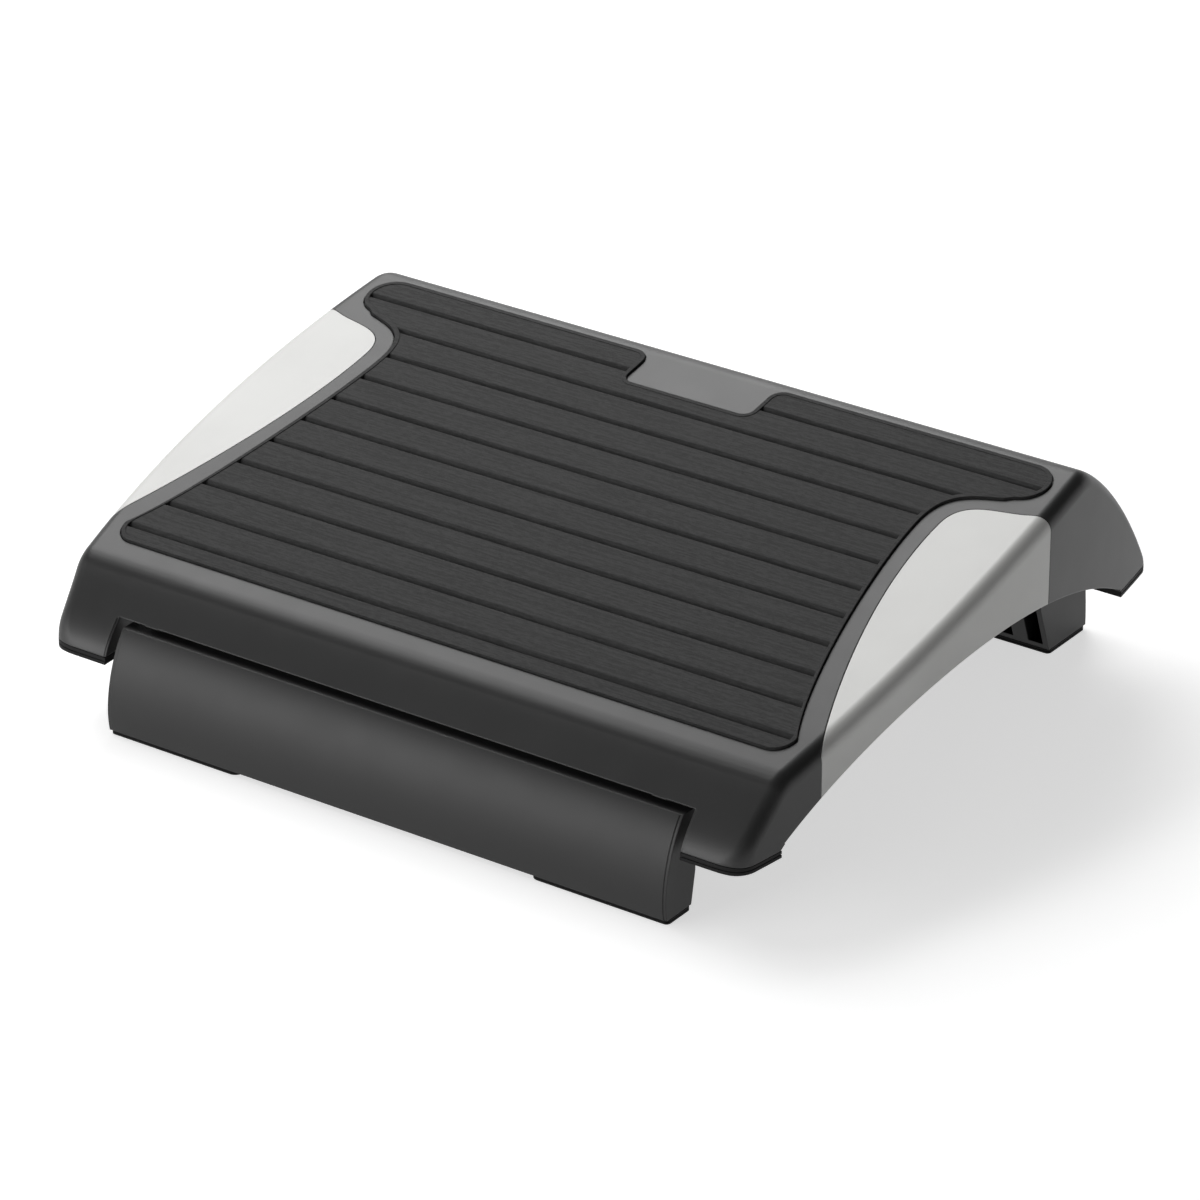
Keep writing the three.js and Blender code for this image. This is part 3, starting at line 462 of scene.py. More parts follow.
# Tread and trim outlines that the shell's recesses follow
mat_thickness, mat_proud, mat_gap = 3.1, 1.2, 0.6
mat_front_margin, mat_rear_margin, mat_waist_run = 14.6, 6.4, 63.6
mat_side_margin, mat_waist_margin, mat_ear_margin = 22.4, 60, 16.6
mat_front_y, mat_rear_y = front_top_y + mat_front_margin, rear_top_y - mat_rear_margin
mat_front_half = platform_width / 2 - mat_side_margin
mat_waist_half = platform_width / 2 - mat_waist_margin
mat_ear_half = platform_width / 2 - mat_ear_margin
mat_waist_y = mat_rear_y - mat_waist_run
mat_corner_radius, mat_ear_radius, mat_ear_start_degrees = 11, 14.6, -75
mat_side_shares = ((0.537, 0.218), (1, 0.798))
mat_shoulder_run, mat_shoulder_rise = 29.9, 32.2
mat_shoulder_shares = ((0, 0.776), (0.48, 0.839))
plate_half_width, plate_depth, plate_inner_radius, plate_outer_radius = 39, 26.6, 6, 8
trim_thickness, trim_front_margin, trim_rear_margin, trim_side_margin = 2, 10.7, 34.1, 9
trim_waist_rim, trim_waist_lag = 10.2, 1
trim_front_y, trim_rear_y = mat_front_y + trim_front_margin, mat_rear_y - trim_rear_margin
trim_front_half = platform_width / 2 - trim_side_margin
trim_waist_half, trim_waist_y = mat_waist_half + trim_waist_rim, mat_waist_y + trim_waist_lag
trim_side_shares = ((0.515, 0.278), (1, 0.675))
trim_shoulder_run, trim_shoulder_rise, trim_tail_run = 37.8, 25.9, 9
trim_shoulder_shares = ((0, 0.947), (0.596, 0.75))
trim_boss_radius, trim_seat_radius, trim_seat_depth, trim_seat_wall = 3.5, 6.5, 3, 2.4
trim_screw_shares = (0.217, 0.535, 0.864)
curve_steps, turn_steps = 40, 16


def mat_outline(inset):
    """Half of the mat seen from above, then its mirror image: arcs at corners, free curves between."""
    front, rear = mat_front_y + inset, mat_rear_y - inset
    front_half, waist, ear_half = mat_front_half - inset, mat_waist_half - inset, mat_ear_half - inset
    corner, ear = mat_corner_radius - inset, mat_ear_radius - inset
    inner, outer = plate_inner_radius + inset, plate_outer_radius - inset
    plate_half, plate_front = plate_half_width + inset, mat_rear_y - plate_depth - inset
    side = bezier((front_half, front + corner + inset), (waist, mat_waist_y), mat_side_shares, curve_steps)
    shoulder_end = (waist + mat_shoulder_run, mat_waist_y + mat_shoulder_rise + inset)
    shoulder = bezier((waist, mat_waist_y), shoulder_end, mat_shoulder_shares, curve_steps)
    half = np.concatenate([
        arc(front_half - corner, front + corner, corner, -90, 0, turn_steps),
        side[1:], shoulder[1:-1],
        arc(ear_half - ear, rear - ear, ear, mat_ear_start_degrees, 90, 2 * turn_steps),
        arc(plate_half + outer, rear - outer, outer, 90, 180, turn_steps),
        arc(plate_half - inner, plate_front + inner, inner, 0, -90, turn_steps),
    ])
    return np.concatenate([half, half[::-1] * (-1, 1)])


def trim_inner_edge(clearance):
    """Right-hand trim's edge on the top, from the front over the waist to its rear corner."""
    waist = (trim_waist_half + clearance, trim_waist_y)
    shoulder_end = (trim_waist_half + trim_shoulder_run, trim_waist_y + trim_shoulder_rise - clearance)
    start = (trim_front_half + clearance, trim_front_y + clearance)
    side = bezier(start, waist, trim_side_shares, curve_steps)
    shoulder = bezier(waist, shoulder_end, trim_shoulder_shares, curve_steps)
    return np.concatenate([side, shoulder[1:]])


def trim_outline(clearance):
    """The trim seen from above, run out past the side of the platform."""
    edge = trim_inner_edge(clearance)
    rear = trim_rear_y - clearance
    return [(platform_width, edge[0, 1]), *edge, (edge[-1, 0] + trim_tail_run, rear), (platform_width, rear)]


def trim_screw_places():
    """Half way between the trim's edge on the top and the side of the platform."""
    y = trim_front_y + (trim_rear_y - trim_front_y) * np.array(trim_screw_shares)
    edge = trim_inner_edge(0)
    inner = np.interp(y, edge[:curve_steps + 1, 1], edge[:curve_steps + 1, 0])
    return np.stack([(inner + side_half_width(y)) / 2, y], -1)


foot_lengths = {"front": 28, "rear": 38}
foot_thickness, foot_peg_radius, foot_peg_length = 4, 4, 5
arch_lap, arch_front_rise, arch_rear_rise, arch_step_run = 0.8, 2.6, 0.6, 3
arch_shares, arch_height = ((0.266, 0.81), (0.708, 0.92)), 65
arch_edge_radius, notch_edge_radius = 1.1, 1


def foot_span(leg):
    """Lowest and highest Y of one corner foot, run out past the end wall."""
    if leg.out < 0:
        return -platform_width, front_wall_y + foot_lengths["front"]
    return rear_wall_y - foot_lengths["rear"], platform_width


def softened(corner, first, second, radius, over=gap):
    """Outline that takes a corner off down to a parabola between points one radius along its two faces."""
    corner, first, second = (np.array(place, float) for place in (corner, first, second))
    start, end = corner + radius * first, corner + radius * second
    curve = parabola(start, corner, end, np.linspace(0, 1, round_steps + 1)[:, None])
    outside = [end - over * first, corner - over * (first + second), start - over * second]
    return np.concatenate([curve, outside])


def along_edge(edge_x, line, corner, first, second, radius):
    """Softened outline in X and the line's normal, carried along an edge whose places in Y and Z are a line.

    The normal is the line's direction turned by 90 degrees: rise and run change places, and one changes sign.
    """
    outline = softened(corner, first, second, radius)
    ends = np.concatenate([line[:1], line, line[-1:]])
    run, rise = (ends[2:] - ends[:-2]).T
    normal = np.stack([-rise, run], -1) / np.hypot(run, rise)[:, None]
    x = np.broadcast_to(edge_x, len(line))[:, None] + outline[:, 0]
    places = line[:, None] + normal[:, None] * outline[:, 1:]
    return tube("edge", np.concatenate([x[..., None], places], axis=-1))


def arch_line():
    """Cubic arch in Y and Z, and its step at the front foot."""
    start_y = front_wall_y + foot_lengths["front"] - arch_lap
    end_y = rear_wall_y - foot_lengths["rear"] - 2 * arch_lap
    start = np.array([start_y, foot_height(start_y) + foot_thickness])
    end = np.array([end_y, foot_height(end_y) + foot_thickness + arch_rear_rise])
    crown = start + (arch_step_run, arch_front_rise)
    (first_run, first_rise), (second_run, second_rise) = arch_shares
    first = (crown[0] + (end[0] - crown[0]) * first_run, crown[1] + arch_height * first_rise)
    second = (crown[0] + (end[0] - crown[0]) * second_run, crown[1] + arch_height * second_rise)
    return start, cubic(crown, first, second, end, 2 * curve_steps)


def arch_cut():
    """Arch under each side, between steps at the front and rear feet, with its outer edges softened."""
    start, curve = arch_line()
    below = [(start[0], start[1] - beyond), (curve[-1, 0], curve[-1, 1] - beyond)]
    opening = across([*below, *curve[::-1], start], -platform_width, platform_width)
    edge = along_edge(side_half_width(curve[:, 0]), curve, (0, 0), (0, 1), (-1, 0), arch_edge_radius)
    return join(opening, both_sides(edge))


rib_wall, rib_depth = 2, 14
rib_shares, cross_rib_shares = (0.41, 0.877), (0.03, 0.376, 0.7, 1.05)


def rib_grid():
    """Thin upright plates both ways, kept inside the shell and under its crowned top."""
    half = rib_wall / 2
    plates = []
    for share in rib_shares:
        x = saddle_inner_x * share
        plates.append(both_sides(block(x - half, x + half, -platform_width, platform_width, 0, tallest)))
    for share in cross_rib_shares:
        y = trim_front_y + (trim_rear_y - trim_front_y) * share
        plates.append(block(-platform_width, platform_width, y - half, y + half, 0, tallest))
    grid = join(plates[0], *plates[1:])
    y = np.linspace(front_top_y, rear_top_y, top_rings + 1)
    low = np.stack([y, top_height(y) - top_wall - rib_depth], -1)
    high = np.stack([y, top_height(y) - top_wall / 2], -1)
    slab = across([*low, *high[::-1]], -platform_width, platform_width)
    return keep_inside(grid, outer_body(), slab)


def behind_hinge(leg):
    """Lowest and highest Y of the space outside a leg's knuckles."""
    inner = leg.hinge_y + leg.out * knuckle_radius
    return (-platform_width, inner) if leg.out < 0 else (inner, platform_width)


def end_wall(leg, low_z, high_z):
    """Stretch of the outer line on a leg's end wall between two heights, from low to high."""
    line = side_view()[0]
    line = line[(line[:, 0] - leg.hinge_y) * leg.out > 0]
    line = line[np.argsort(line[:, 1])]
    z = np.linspace(low_z, high_z, curve_steps + 1)
    return np.stack([np.interp(z, line[:, 1], line[:, 0]), z], -1)


def leg_notch(leg):
    """Opening in the end wall, with the edges round its outside softened."""
    low_y, high_y = behind_hinge(leg)
    high_z = leg.top_z + leg_top_gap
    opening = block(-notch_half_width, notch_half_width, low_y, high_y, -beyond, high_z)
    line = end_wall(leg, foot_height(leg.face_foot_y), high_z)
    up = line[-1] - line[-2]
    top = softened(line[-1], up / np.hypot(*up), (-leg.out, 0), notch_edge_radius)
    sides = along_edge(notch_half_width, line, (0, 0), (1, 0), (0, -leg.out), notch_edge_radius)
    end = notch_half_width - 2 * notch_edge_radius
    return join(opening, across(top, -notch_half_width, -end, end, notch_half_width), both_sides(sides))


def corner_structure(leg):
    """Right-hand corner: a floor over the foot and a wall beside the leg's opening."""
    low_y, high_y = foot_span(leg)
    floor_part = keep_inside(block(notch_half_width, platform_width, low_y, high_y, -beyond, tallest),
                             foot_slab(foot_thickness, foot_thickness + wall))
    side_part = keep_inside(block(notch_half_width, notch_half_width + wall, low_y, high_y, -beyond, tallest),
                            foot_slab(foot_thickness, tallest))
    return keep_inside(both_sides(join(floor_part, side_part)), outer_body())


def arm_outline(leg, radius):
    """Capsule from the hinge to the inside of the leg's panel."""
    angle = np.degrees(np.arctan2(leg.arm_end_z - leg.hinge_z, leg.arm_end_y - leg.hinge_y))
    return np.concatenate([arc(leg.hinge_y, leg.hinge_z, radius, angle + 90, angle + 270, turn_steps),
                           arc(leg.arm_end_y, leg.arm_end_z, radius, angle - 90, angle + 90, turn_steps)])


def stop_rib(leg):
    """Rib that the unfolded leg's arm bears on."""
    low_y, high_y = behind_hinge(leg)
    low_z, high_z = leg.top_z + leg_top_gap, leg.hinge_z + knuckle_radius
    rib = keep_inside(block(arm_inner_x, arm_outer_x, low_y, high_y, low_z, high_z), outer_body())
    room = across(arm_outline(leg, knuckle_radius + gap), arm_inner_x - gap, arm_outer_x + gap)
    return both_sides(cut(rib, room))


def cap_screw_places(leg):
    """One screw on each side of the pin, in the middle of the saddle."""
    x = (saddle_inner_x + saddle_outer_x) / 2
    return [(x, leg.hinge_y + way * cap_screw_reach) for way in (-1, 1)]


def cap_screw_z(leg):
    """Height of the underside of a cap screw's head."""
    return leg.hinge_z - gap / 2 - cap_thickness - gap


def hinge_holes(leg):
    """The pin's bore and the holes of the cap's two screws, as one tool."""
    bore = cross_rod(leg.hinge_y, leg.hinge_z, saddle_inner_x - gap, saddle_outer_x + gap, pin_radius + gap)
    z = cap_screw_z(leg)
    top = z + cap_screw_length + gap
    rods = [upright_rod(x, y, z, top, screw_radius + gap) for x, y in cap_screw_places(leg)]
    return join(bore, *rods)


def saddle(leg):
    """Lump under the top that holds the upper half of each pin."""
    low_y, high_y = leg.hinge_y - saddle_reach, leg.hinge_y + saddle_reach
    lump = block(saddle_inner_x, saddle_outer_x, low_y, high_y, leg.hinge_z + gap / 2, tallest)
    return both_sides(keep_inside(lump, outer_body()))


def foot_peg_place(leg):
    """Middle of the corner's floor, two peg radii in from the foot's inner end."""
    low_y, high_y = foot_span(leg)
    inner = high_y if leg.out < 0 else low_y
    return (notch_half_width + side_half_width(inner)) / 2, inner + leg.out * 2 * foot_peg_radius


trim_seat_inset = trim_thickness + gap
trim_inner_inset = trim_seat_inset + trim_seat_wall


def trim_seat_bottom(y):
    """Height of the underside of a trim screw's post."""
    return top_height(y) - trim_inner_inset - trim_seat_depth


def platform_shell():
    """Hollow outer form with its ribs, hinge saddles and screw posts, less its seats and openings."""
    thick_zone = upwards(trim_outline(-2 * wall), 0, tallest)
    cut(thick_zone, platform_body(trim_inner_inset, trim_inner_inset, trim_inner_inset))
    cavity = cut(platform_body(wall, top_wall, wall), both_sides(thick_zone))
    shell = keep_inside(cut(outer_body(), cavity), foot_slab(foot_thickness, tallest))
    join(shell, rib_grid())
    for leg in legs:
        join(shell, corner_structure(leg))
        cut(shell, leg_notch(leg))
        join(shell, stop_rib(leg), saddle(leg))
        cut(shell, both_sides(hinge_holes(leg)))
        x, y = foot_peg_place(leg)
        peg_top = foot_height(y) + foot_thickness + foot_peg_length + gap
        cut(shell, both_sides(upright_rod(x, y, -beyond, peg_top, foot_peg_radius + gap)))
    mat_seat = upwards(mat_outline(-mat_gap), 0, tallest)
    cut(shell, cut(mat_seat, platform_body(0, mat_thickness - mat_proud + gap, 0, beyond)))
    for x, y in trim_screw_places():
        seat = upright_rod(x, y, trim_seat_bottom(y), top_height(y), trim_seat_radius)
        keep_inside(seat, platform_body(trim_seat_inset, trim_seat_inset, trim_seat_inset))
        join(shell, both_sides(seat))
        cut(shell, both_sides(upright_rod(x, y, trim_seat_bottom(y) - gap, tallest, trim_boss_radius + gap)))
    zone = upwards(trim_outline(0), 0, tallest)
    cut(zone, platform_body(trim_seat_inset, trim_seat_inset, trim_seat_inset))
    return cut(shell, both_sides(zone), arch_cut())


# Most of a noise lies between these two values
noise_low, noise_high = 0.3, 0.7


def ramp(tree, factor, dark_hex, light_hex, low=noise_low, high=noise_high):
    """Colour that goes from dark to light while the factor goes from low to high."""
    node = add_node(tree, "ShaderNodeValToRGB", {"Fac": factor})
    stops = ((low, dark_hex), (high, light_hex))
    for element, (place, hex_text) in zip(tuple(node.color_ramp.elements), stops):
        element.position, element.color = place, linear_colour(hex_text)
    return node.outputs["Color"]


def noise(tree, size_mm, detail=2.0, stretch=(1, 1, 1)):
    """Noise whose cells are this many millimetres wide, longer along an axis where the stretch is above 1."""
    place = add_node(tree, "ShaderNodeTexCoord").outputs["Object"]
    scale = [1 / (size_mm * MM * axis) for axis in stretch]
    mapped = add_node(tree, "ShaderNodeMapping", {"Vector": place}, Scale=scale)
    links = {"Vector": mapped.outputs[0]}
    return add_node(tree, "ShaderNodeTexNoise", links, Scale=1.0, Detail=detail).outputs[0]


def spread(tree, value, low, high, value_low=noise_low, value_high=noise_high):
    """Straight line that carries the range of a value to the range from low to high."""
    ends = {"From_Min": value_low, "From_Max": value_high, "To_Min": low, "To_Max": high}
    return add_node(tree, "ShaderNodeMapRange", {"Value": value}, **ends).outputs[0]


edge_samples = 4


def rounded(tree, radius_mm, height, height_mm):
    """Normal with its sharp edges rounded off, and with the bumps of a height on it."""
    edges = add_node(tree, "ShaderNodeBevel", Radius=radius_mm * MM, samples=edge_samples)
    links = {"Height": height, "Normal": edges.outputs[0]}
    return add_node(tree, "ShaderNodeBump", links, Distance=height_mm * MM, Strength=1.0).outputs[0]


shade_patch_mm, gloss_patch_mm, gloss_change = 45, 18, 0.012


def satin_plastic(name, dark_hex, light_hex, roughness, grain_mm, grain_depth_mm, edge_mm, shine):
    """A fine noise is the mould's eroded grain, and slow ones shift the colour and the gloss a little."""
    material, tree = new_material(name)
    colour = ramp(tree, noise(tree, shade_patch_mm, detail=4.0), dark_hex, light_hex)
    patches = noise(tree, gloss_patch_mm, detail=3.0)
    gloss = spread(tree, patches, roughness - gloss_change, roughness + gloss_change)
    normal = rounded(tree, edge_mm, noise(tree, grain_mm), grain_depth_mm)
    links = {"Base Color": colour, "Roughness": gloss, "Normal": normal}
    surface = add_node(tree, "ShaderNodeBsdfPrincipled", links, Specular_IOR_Level=shine)
    add_node(tree, "ShaderNodeOutputMaterial", {"Surface": surface.outputs[0]})
    return material


def finished(piece, name, material, sharp_degrees=32):
    """Names a piece, shades it smooth up to an angle, and lets its large faces set its normals."""
    piece.name = piece.data.name = name
    piece.data.materials.clear()
    piece.data.materials.append(material)
    piece.data.shade_smooth()
    piece.data.set_sharp_from_angle(angle=np.radians(sharp_degrees))
    weights = piece.modifiers.new("weights", "WEIGHTED_NORMAL")
    weights.keep_sharp = True
    return piece


# Spark-eroded ABS is satin: its highlights are broad and soft, and its edges catch a thin line of light.
# Its real grain is about 0.1 mm across, and is drawn coarser so that it shows.
black_dark_hex, black_light_hex, black_roughness, black_shine = "1c1c1c", "1f1f1f", 0.42, 0.48
black_grain_mm, black_grain_depth_mm, black_edge_mm = 0.7, 0.02, 0.8
black_satin = satin_plastic("black_satin", black_dark_hex, black_light_hex, black_roughness,
                            black_grain_mm, black_grain_depth_mm, black_edge_mm, black_shine)

shell = finished(platform_shell(), "shell_moulding", black_satin)
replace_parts(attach(shell, "platform"), "platform_shell")

# Tread mat
# A moulded rubber mat lies in a shallow recess, with eleven grooves across it for grip.
# The grooves stop short of its edge, where a flat lip runs all round.

mat_lip, mat_field_drop = 2.2, 0.25
groove_pitch, groove_width, groove_depth, groove_steps = 21.7, 4.2, 1.9, 14


def mat_groove(y):
    """Cosine hollow across the mat: half its depth times one plus the cosine of its way from the middle."""
    share = np.linspace(-1, 1, groove_steps + 1)
    places = y + share * groove_width / 2
    surface = top_height(places) + mat_proud - mat_field_drop
    low = np.column_stack([places, surface - groove_depth * (1 + np.cos(np.pi * share)) / 2])
    high = np.column_stack([places, surface + 2 * mat_proud])
    return across([*low, *high[::-1]], -platform_width, platform_width)


def tread_mat():
    """Slice of the platform's own form, with its field sunk inside the lip and the grooves cut across it."""
    upper = platform_body(0, -mat_proud, 0, beyond)
    lower = platform_body(0, mat_thickness - mat_proud, 0, beyond)
    mat = cut(keep_inside(upwards(mat_outline(0), 0, tallest), upper), lower)
    field = upwards(mat_outline(mat_lip), 0, tallest)
    field_top = platform_body(0, mat_field_drop - mat_proud, 0, beyond)
    hollows = cut(upwards(mat_outline(mat_lip), 0, tallest), field_top)
    run = groove_pitch * np.cos(np.arctan2(rear_top_z - front_top_z, rear_top_y - front_top_y))
    count = int((mat_rear_y - mat_front_y) / run)
    grooves = [mat_groove(mat_front_y + (i + 1 / 2) * run) for i in range(count)]
    return cut(mat, hollows, keep_inside(join(grooves[0], *grooves[1:]), field))


# Rubber is matt, and this mat is faintly streaked across, with short marks between the streaks.
# The finest of the real marks would not show, so all are drawn coarser.
mat_dark_hex, mat_light_hex, mat_roughness, mat_gloss_change = "1c1c1c", "2d2d2d", 0.8, 0.06
mat_grain_mm, mat_grain_depth_mm, mat_edge_mm = 0.7, 0.03, 0.5
marks_low, marks_high = 0.86, 1.16
streak_mm, streak_stretch, mottle_mm, mottle_stretch = 1.3, (30, 1, 1), 1.1, (4, 1, 1)

mat_rubber, tree = new_material("mat_rubber")
streaks = noise(tree, streak_mm, detail=4.0, stretch=streak_stretch)
mottles = noise(tree, mottle_mm, detail=4.0, stretch=mottle_stretch)
marks = add_node(tree, "ShaderNodeMath", {0: streaks, 1: mottles}, operation="ADD")
mat_shade = spread(tree, marks.outputs[0], 0, 1, marks_low, marks_high)
mat_grain = noise(tree, mat_grain_mm, detail=3.0)
links = {
    "Base Color": ramp(tree, mat_shade, mat_dark_hex, mat_light_hex, 0, 1),
    "Roughness": spread(tree, mat_grain, mat_roughness - mat_gloss_change, mat_roughness + mat_gloss_change),
    "Normal": rounded(tree, mat_edge_mm, mat_grain, mat_grain_depth_mm),
}
rubber = add_node(tree, "ShaderNodeBsdfPrincipled", links)
add_node(tree, "ShaderNodeOutputMaterial", {"Surface": rubber.outputs[0]})

mat = finished(tread_mat(), "ribbed_mat", mat_rubber)
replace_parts(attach(mat, "platform"), "tread_mat")

# Side trims
# Two mouldings with a silver finish lie flush in the sides of the shell and roll over onto its top.
# Each has three bosses underneath, which the screws hold from inside the shell.

screw_head_height, screw_slot_width, screw_slot_depth = 2.1, 0.8, 0.9
trim_screw_length, trim_screw_head_radius, cap_screw_head_radius = 5.4, 5, 2.9


def side_trim():
    """Thin skin of the platform's own form, with three bosses and their screw holes, less the arch."""
    trim = keep_inside(upwards(trim_outline(gap), 0, tallest), outer_body())
    cut(trim, platform_body(trim_thickness, trim_thickness, trim_thickness))
    for x, y in trim_screw_places():
        boss = upright_rod(x, y, trim_seat_bottom(y), top_height(y), trim_boss_radius)
        join(trim, keep_inside(boss, outer_body()))
        low = trim_seat_bottom(y) - gap
        cut(trim, upright_rod(x, y, low, low + trim_screw_length + gap, screw_radius + gap))
    return cut(trim, arch_cut())


def mirror_image(piece):
    """The other side's piece: X changes sign and every face is turned round."""
    points = np.array([vertex.co for vertex in piece.data.vertices]) / MM
    faces = [list(face.vertices)[::-1] for face in piece.data.polygons]
    return mesh_piece("mirrored", points * (-1, 1, 1), faces)


# Silver paint on ABS is pale and soft, with a slight sparkle from its metal flakes.
# A real flake is about 0.03 mm across, and is drawn coarser so that it shows.
silver_dark_hex, silver_light_hex, silver_roughness = "cececc", "d4d4d2", 0.56
silver_metallic, silver_gloss_change, silver_patch_mm, silver_edge_mm = 0.22, 0.05, 60, 0.4
flake_mm, flake_depth_mm = 0.35, 0.004

silver_paint, tree = new_material("silver_paint")
flakes = noise(tree, flake_mm)
silver_patches = noise(tree, silver_patch_mm, detail=3.0)
links = {
    "Base Color": ramp(tree, silver_patches, silver_dark_hex, silver_light_hex),
    "Roughness": spread(tree, flakes, silver_roughness - silver_gloss_change,
                        silver_roughness + silver_gloss_change),
    "Normal": rounded(tree, silver_edge_mm, flakes, flake_depth_mm),
}
paint = add_node(tree, "ShaderNodeBsdfPrincipled", links, Metallic=silver_metallic)
add_node(tree, "ShaderNodeOutputMaterial", {"Surface": paint.outputs[0]})

right_trim = side_trim()
for side, piece in (("left", mirror_image(right_trim)), ("right", right_trim)):
    trim = finished(piece, f"silver_trim_{side}", silver_paint)
    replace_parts(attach(trim, "platform"), f"side_trim_{side}")

# Corner feet
# Four black rubber strips close the corners underneath. A thin groove runs round each one.
# A peg on each foot is pressed into a hole in the corner's floor.

foot_groove_low, foot_groove_high, foot_groove_depth = 1.6, 2.2, 0.5
# Moulded rubber is darker and duller than the plastic above it, so the feet read as a black line.
foot_dark_hex, foot_light_hex, foot_roughness, foot_shine = "0b0b0b", "101010", 0.6, 0.2
foot_grain_mm, foot_grain_depth_mm, foot_edge_mm = 0.6, 0.01, 0.4
foot_rubber = satin_plastic("foot_rubber", foot_dark_hex, foot_light_hex, foot_roughness,
                            foot_grain_mm, foot_grain_depth_mm, foot_edge_mm, foot_shine)


def corner_foot(leg):
    """Lowest slice of the platform's corner, with a groove round it and a peg on top."""
    low_y, high_y = foot_span(leg)
    foot = keep_inside(outer_body(), foot_slab(0, foot_thickness - gap),
                       block(notch_half_width, platform_width, low_y, high_y, -beyond, tallest))
    groove = foot_slab(foot_groove_low, foot_groove_high)
    cut(foot, cut(groove, platform_body(foot_groove_depth, 0, foot_groove_depth)))
    x, y = foot_peg_place(leg)
    low = foot_height(y)
    return join(foot, upright_rod(x, y, low + gap, low + foot_thickness + foot_peg_length, foot_peg_radius))


for leg in legs:
    right_foot = corner_foot(leg)
    for side, piece in (("left", mirror_image(right_foot)), ("right", right_foot)):
        foot = finished(piece, f"{leg.name}_corner_strip_{side}", foot_rubber)
        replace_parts(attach(foot, "platform"), f"{leg.name}_corner_foot_{side}")

# Legs
# Each leg is a hollow moulding as wide as the opening above it, with thin ribs between its two arms.
# It turns on two pins, and a tongue along its top closes the gap under the end wall.

sole_thickness, sole_peg_radius, sole_peg_length, sole_length = 2.3, 4, 4, 81
sole_corner, sole_outer_corner = 5, 2.5
leg_edge_radius = 1.8
leg_bay_count, leg_shelf, lip_thickness, lip_gap, lip_overlap = 4, 1.6, 1.6, 0.8, 2.4
sole_top = sole_thickness + gap


def leg_face(leg, inset):
    """Cubic curve of the leg's outer face from its top to its foot, moved in from the end wall."""
    curve = bezier((leg.top_y, leg.top_z), (leg.face_foot_y, sole_top), leg.face_shares, 2 * curve_steps)
    return curve - (leg.out * inset, 0)


def leg_bays(leg):
    """Hollows behind the face, which is one wall thick, between the ribs, the arms and the end walls."""
    face = leg_face(leg, wall)
    low, high = sole_top + wall, leg.top_z - leg_shelf
    open_y = leg.back_y - leg.out * beyond
    outline = [(face[0, 0], high), *face[(face[:, 1] > low) & (face[:, 1] < high)],
               (leg.face_foot_y - leg.out * 2 * wall, low), (open_y, low), (open_y, high)]
    width = arm_inner_x / leg_bay_count
    bays = [across(outline, arm_outer_x, leg_half_width - wall)]
    for i in range(leg_bay_count):
        bays.append(across(outline, i * width + rib_wall / 2, (i + 1) * width - rib_wall / 2))
    return both_sides(join(bays[0], *bays[1:]))


def leg_lip(leg):
    """Tongue with an L-shaped outline that stands on the leg's top, just inside the end wall."""
    lip_top = leg.top_z + leg_top_gap + lip_overlap
    inside = inset_view(wall, top_wall)
    inside = inside[(inside[:, 0] * leg.out > 0) & (inside[:, 1] > lip_top)]
    outer = inside[inside[:, 1].argmin(), 0] - leg.out * lip_gap
    inner = outer - leg.out * lip_thickness
    root = leg.top_y - leg.out * wall / 2
    outline = [(root, leg.top_z), (root, leg.top_z - lip_overlap), (inner, leg.top_z - lip_overlap),
               (inner, lip_top), (outer, lip_top), (outer, leg.top_z)]
    return across(outline, saddle_gap - saddle_inner_x, saddle_inner_x - saddle_gap)


def sole_peg_places(leg):
    """Middle of the sole's width, four peg radii from each of its ends."""
    y = (leg.sole_outer_y + leg.sole_inner_y) / 2
    margin = 4 * sole_peg_radius
    return [(leg_half_width - sole_length + margin, y), (leg_half_width - margin, y)]


def leg_moulding(leg):
    """Panel with a curved face, hollowed from behind, with its arms, tongue, pin bores and peg holes."""
    outline = [*leg_face(leg, 0), (leg.sole_inner_y, sole_top), (leg.back_y, leg.back_z),
               (leg.back_y, leg.arm_end_z), (leg.back_top_y, leg.top_z)]
    piece = cut(across(outline, -leg_half_width, leg_half_width), leg_bays(leg))
    face = leg_face(leg, 0)[::-1]
    cut(piece, both_sides(along_edge(leg_half_width, face, (0, 0), (-1, 0), (0, -leg.out), leg_edge_radius)))
    join(piece, both_sides(across(arm_outline(leg, knuckle_radius), arm_inner_x, arm_outer_x)), leg_lip(leg))
    bore = cross_rod(leg.hinge_y, leg.hinge_z, arm_inner_x - gap, arm_outer_x + gap, pin_radius + gap)
    holes = [upright_rod(x, y, 0, sole_thickness + wall + sole_peg_length, sole_peg_radius + gap)
             for x, y in sole_peg_places(leg)]
    return cut(piece, both_sides(join(bore, *holes)))


# The shell's ABS from a mould with a finer grain, which looks a little duller
leg_dark_hex, leg_light_hex, leg_roughness, leg_shine = "1c1c1c", "1f1f1f", 0.48, 0.42
leg_grain_mm, leg_grain_depth_mm, leg_bevel_mm = 0.5, 0.012, 0.8
leg_satin = satin_plastic("leg_satin", leg_dark_hex, leg_light_hex, leg_roughness,
                          leg_grain_mm, leg_grain_depth_mm, leg_bevel_mm, leg_shine)

for leg in legs:
    moulding = finished(leg_moulding(leg), f"{leg.name}_leg_moulding", leg_satin)
    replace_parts(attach(moulding, f"{leg.name}_leg_body"), f"{leg.name}_leg")

# Leg soles
# Under each end of a leg a flat rubber strip takes the load, held by two pegs.
# It is moulded with a thin groove round its side.

sole_groove_low, sole_groove_high, sole_groove_depth = 1, 1.5, 0.4


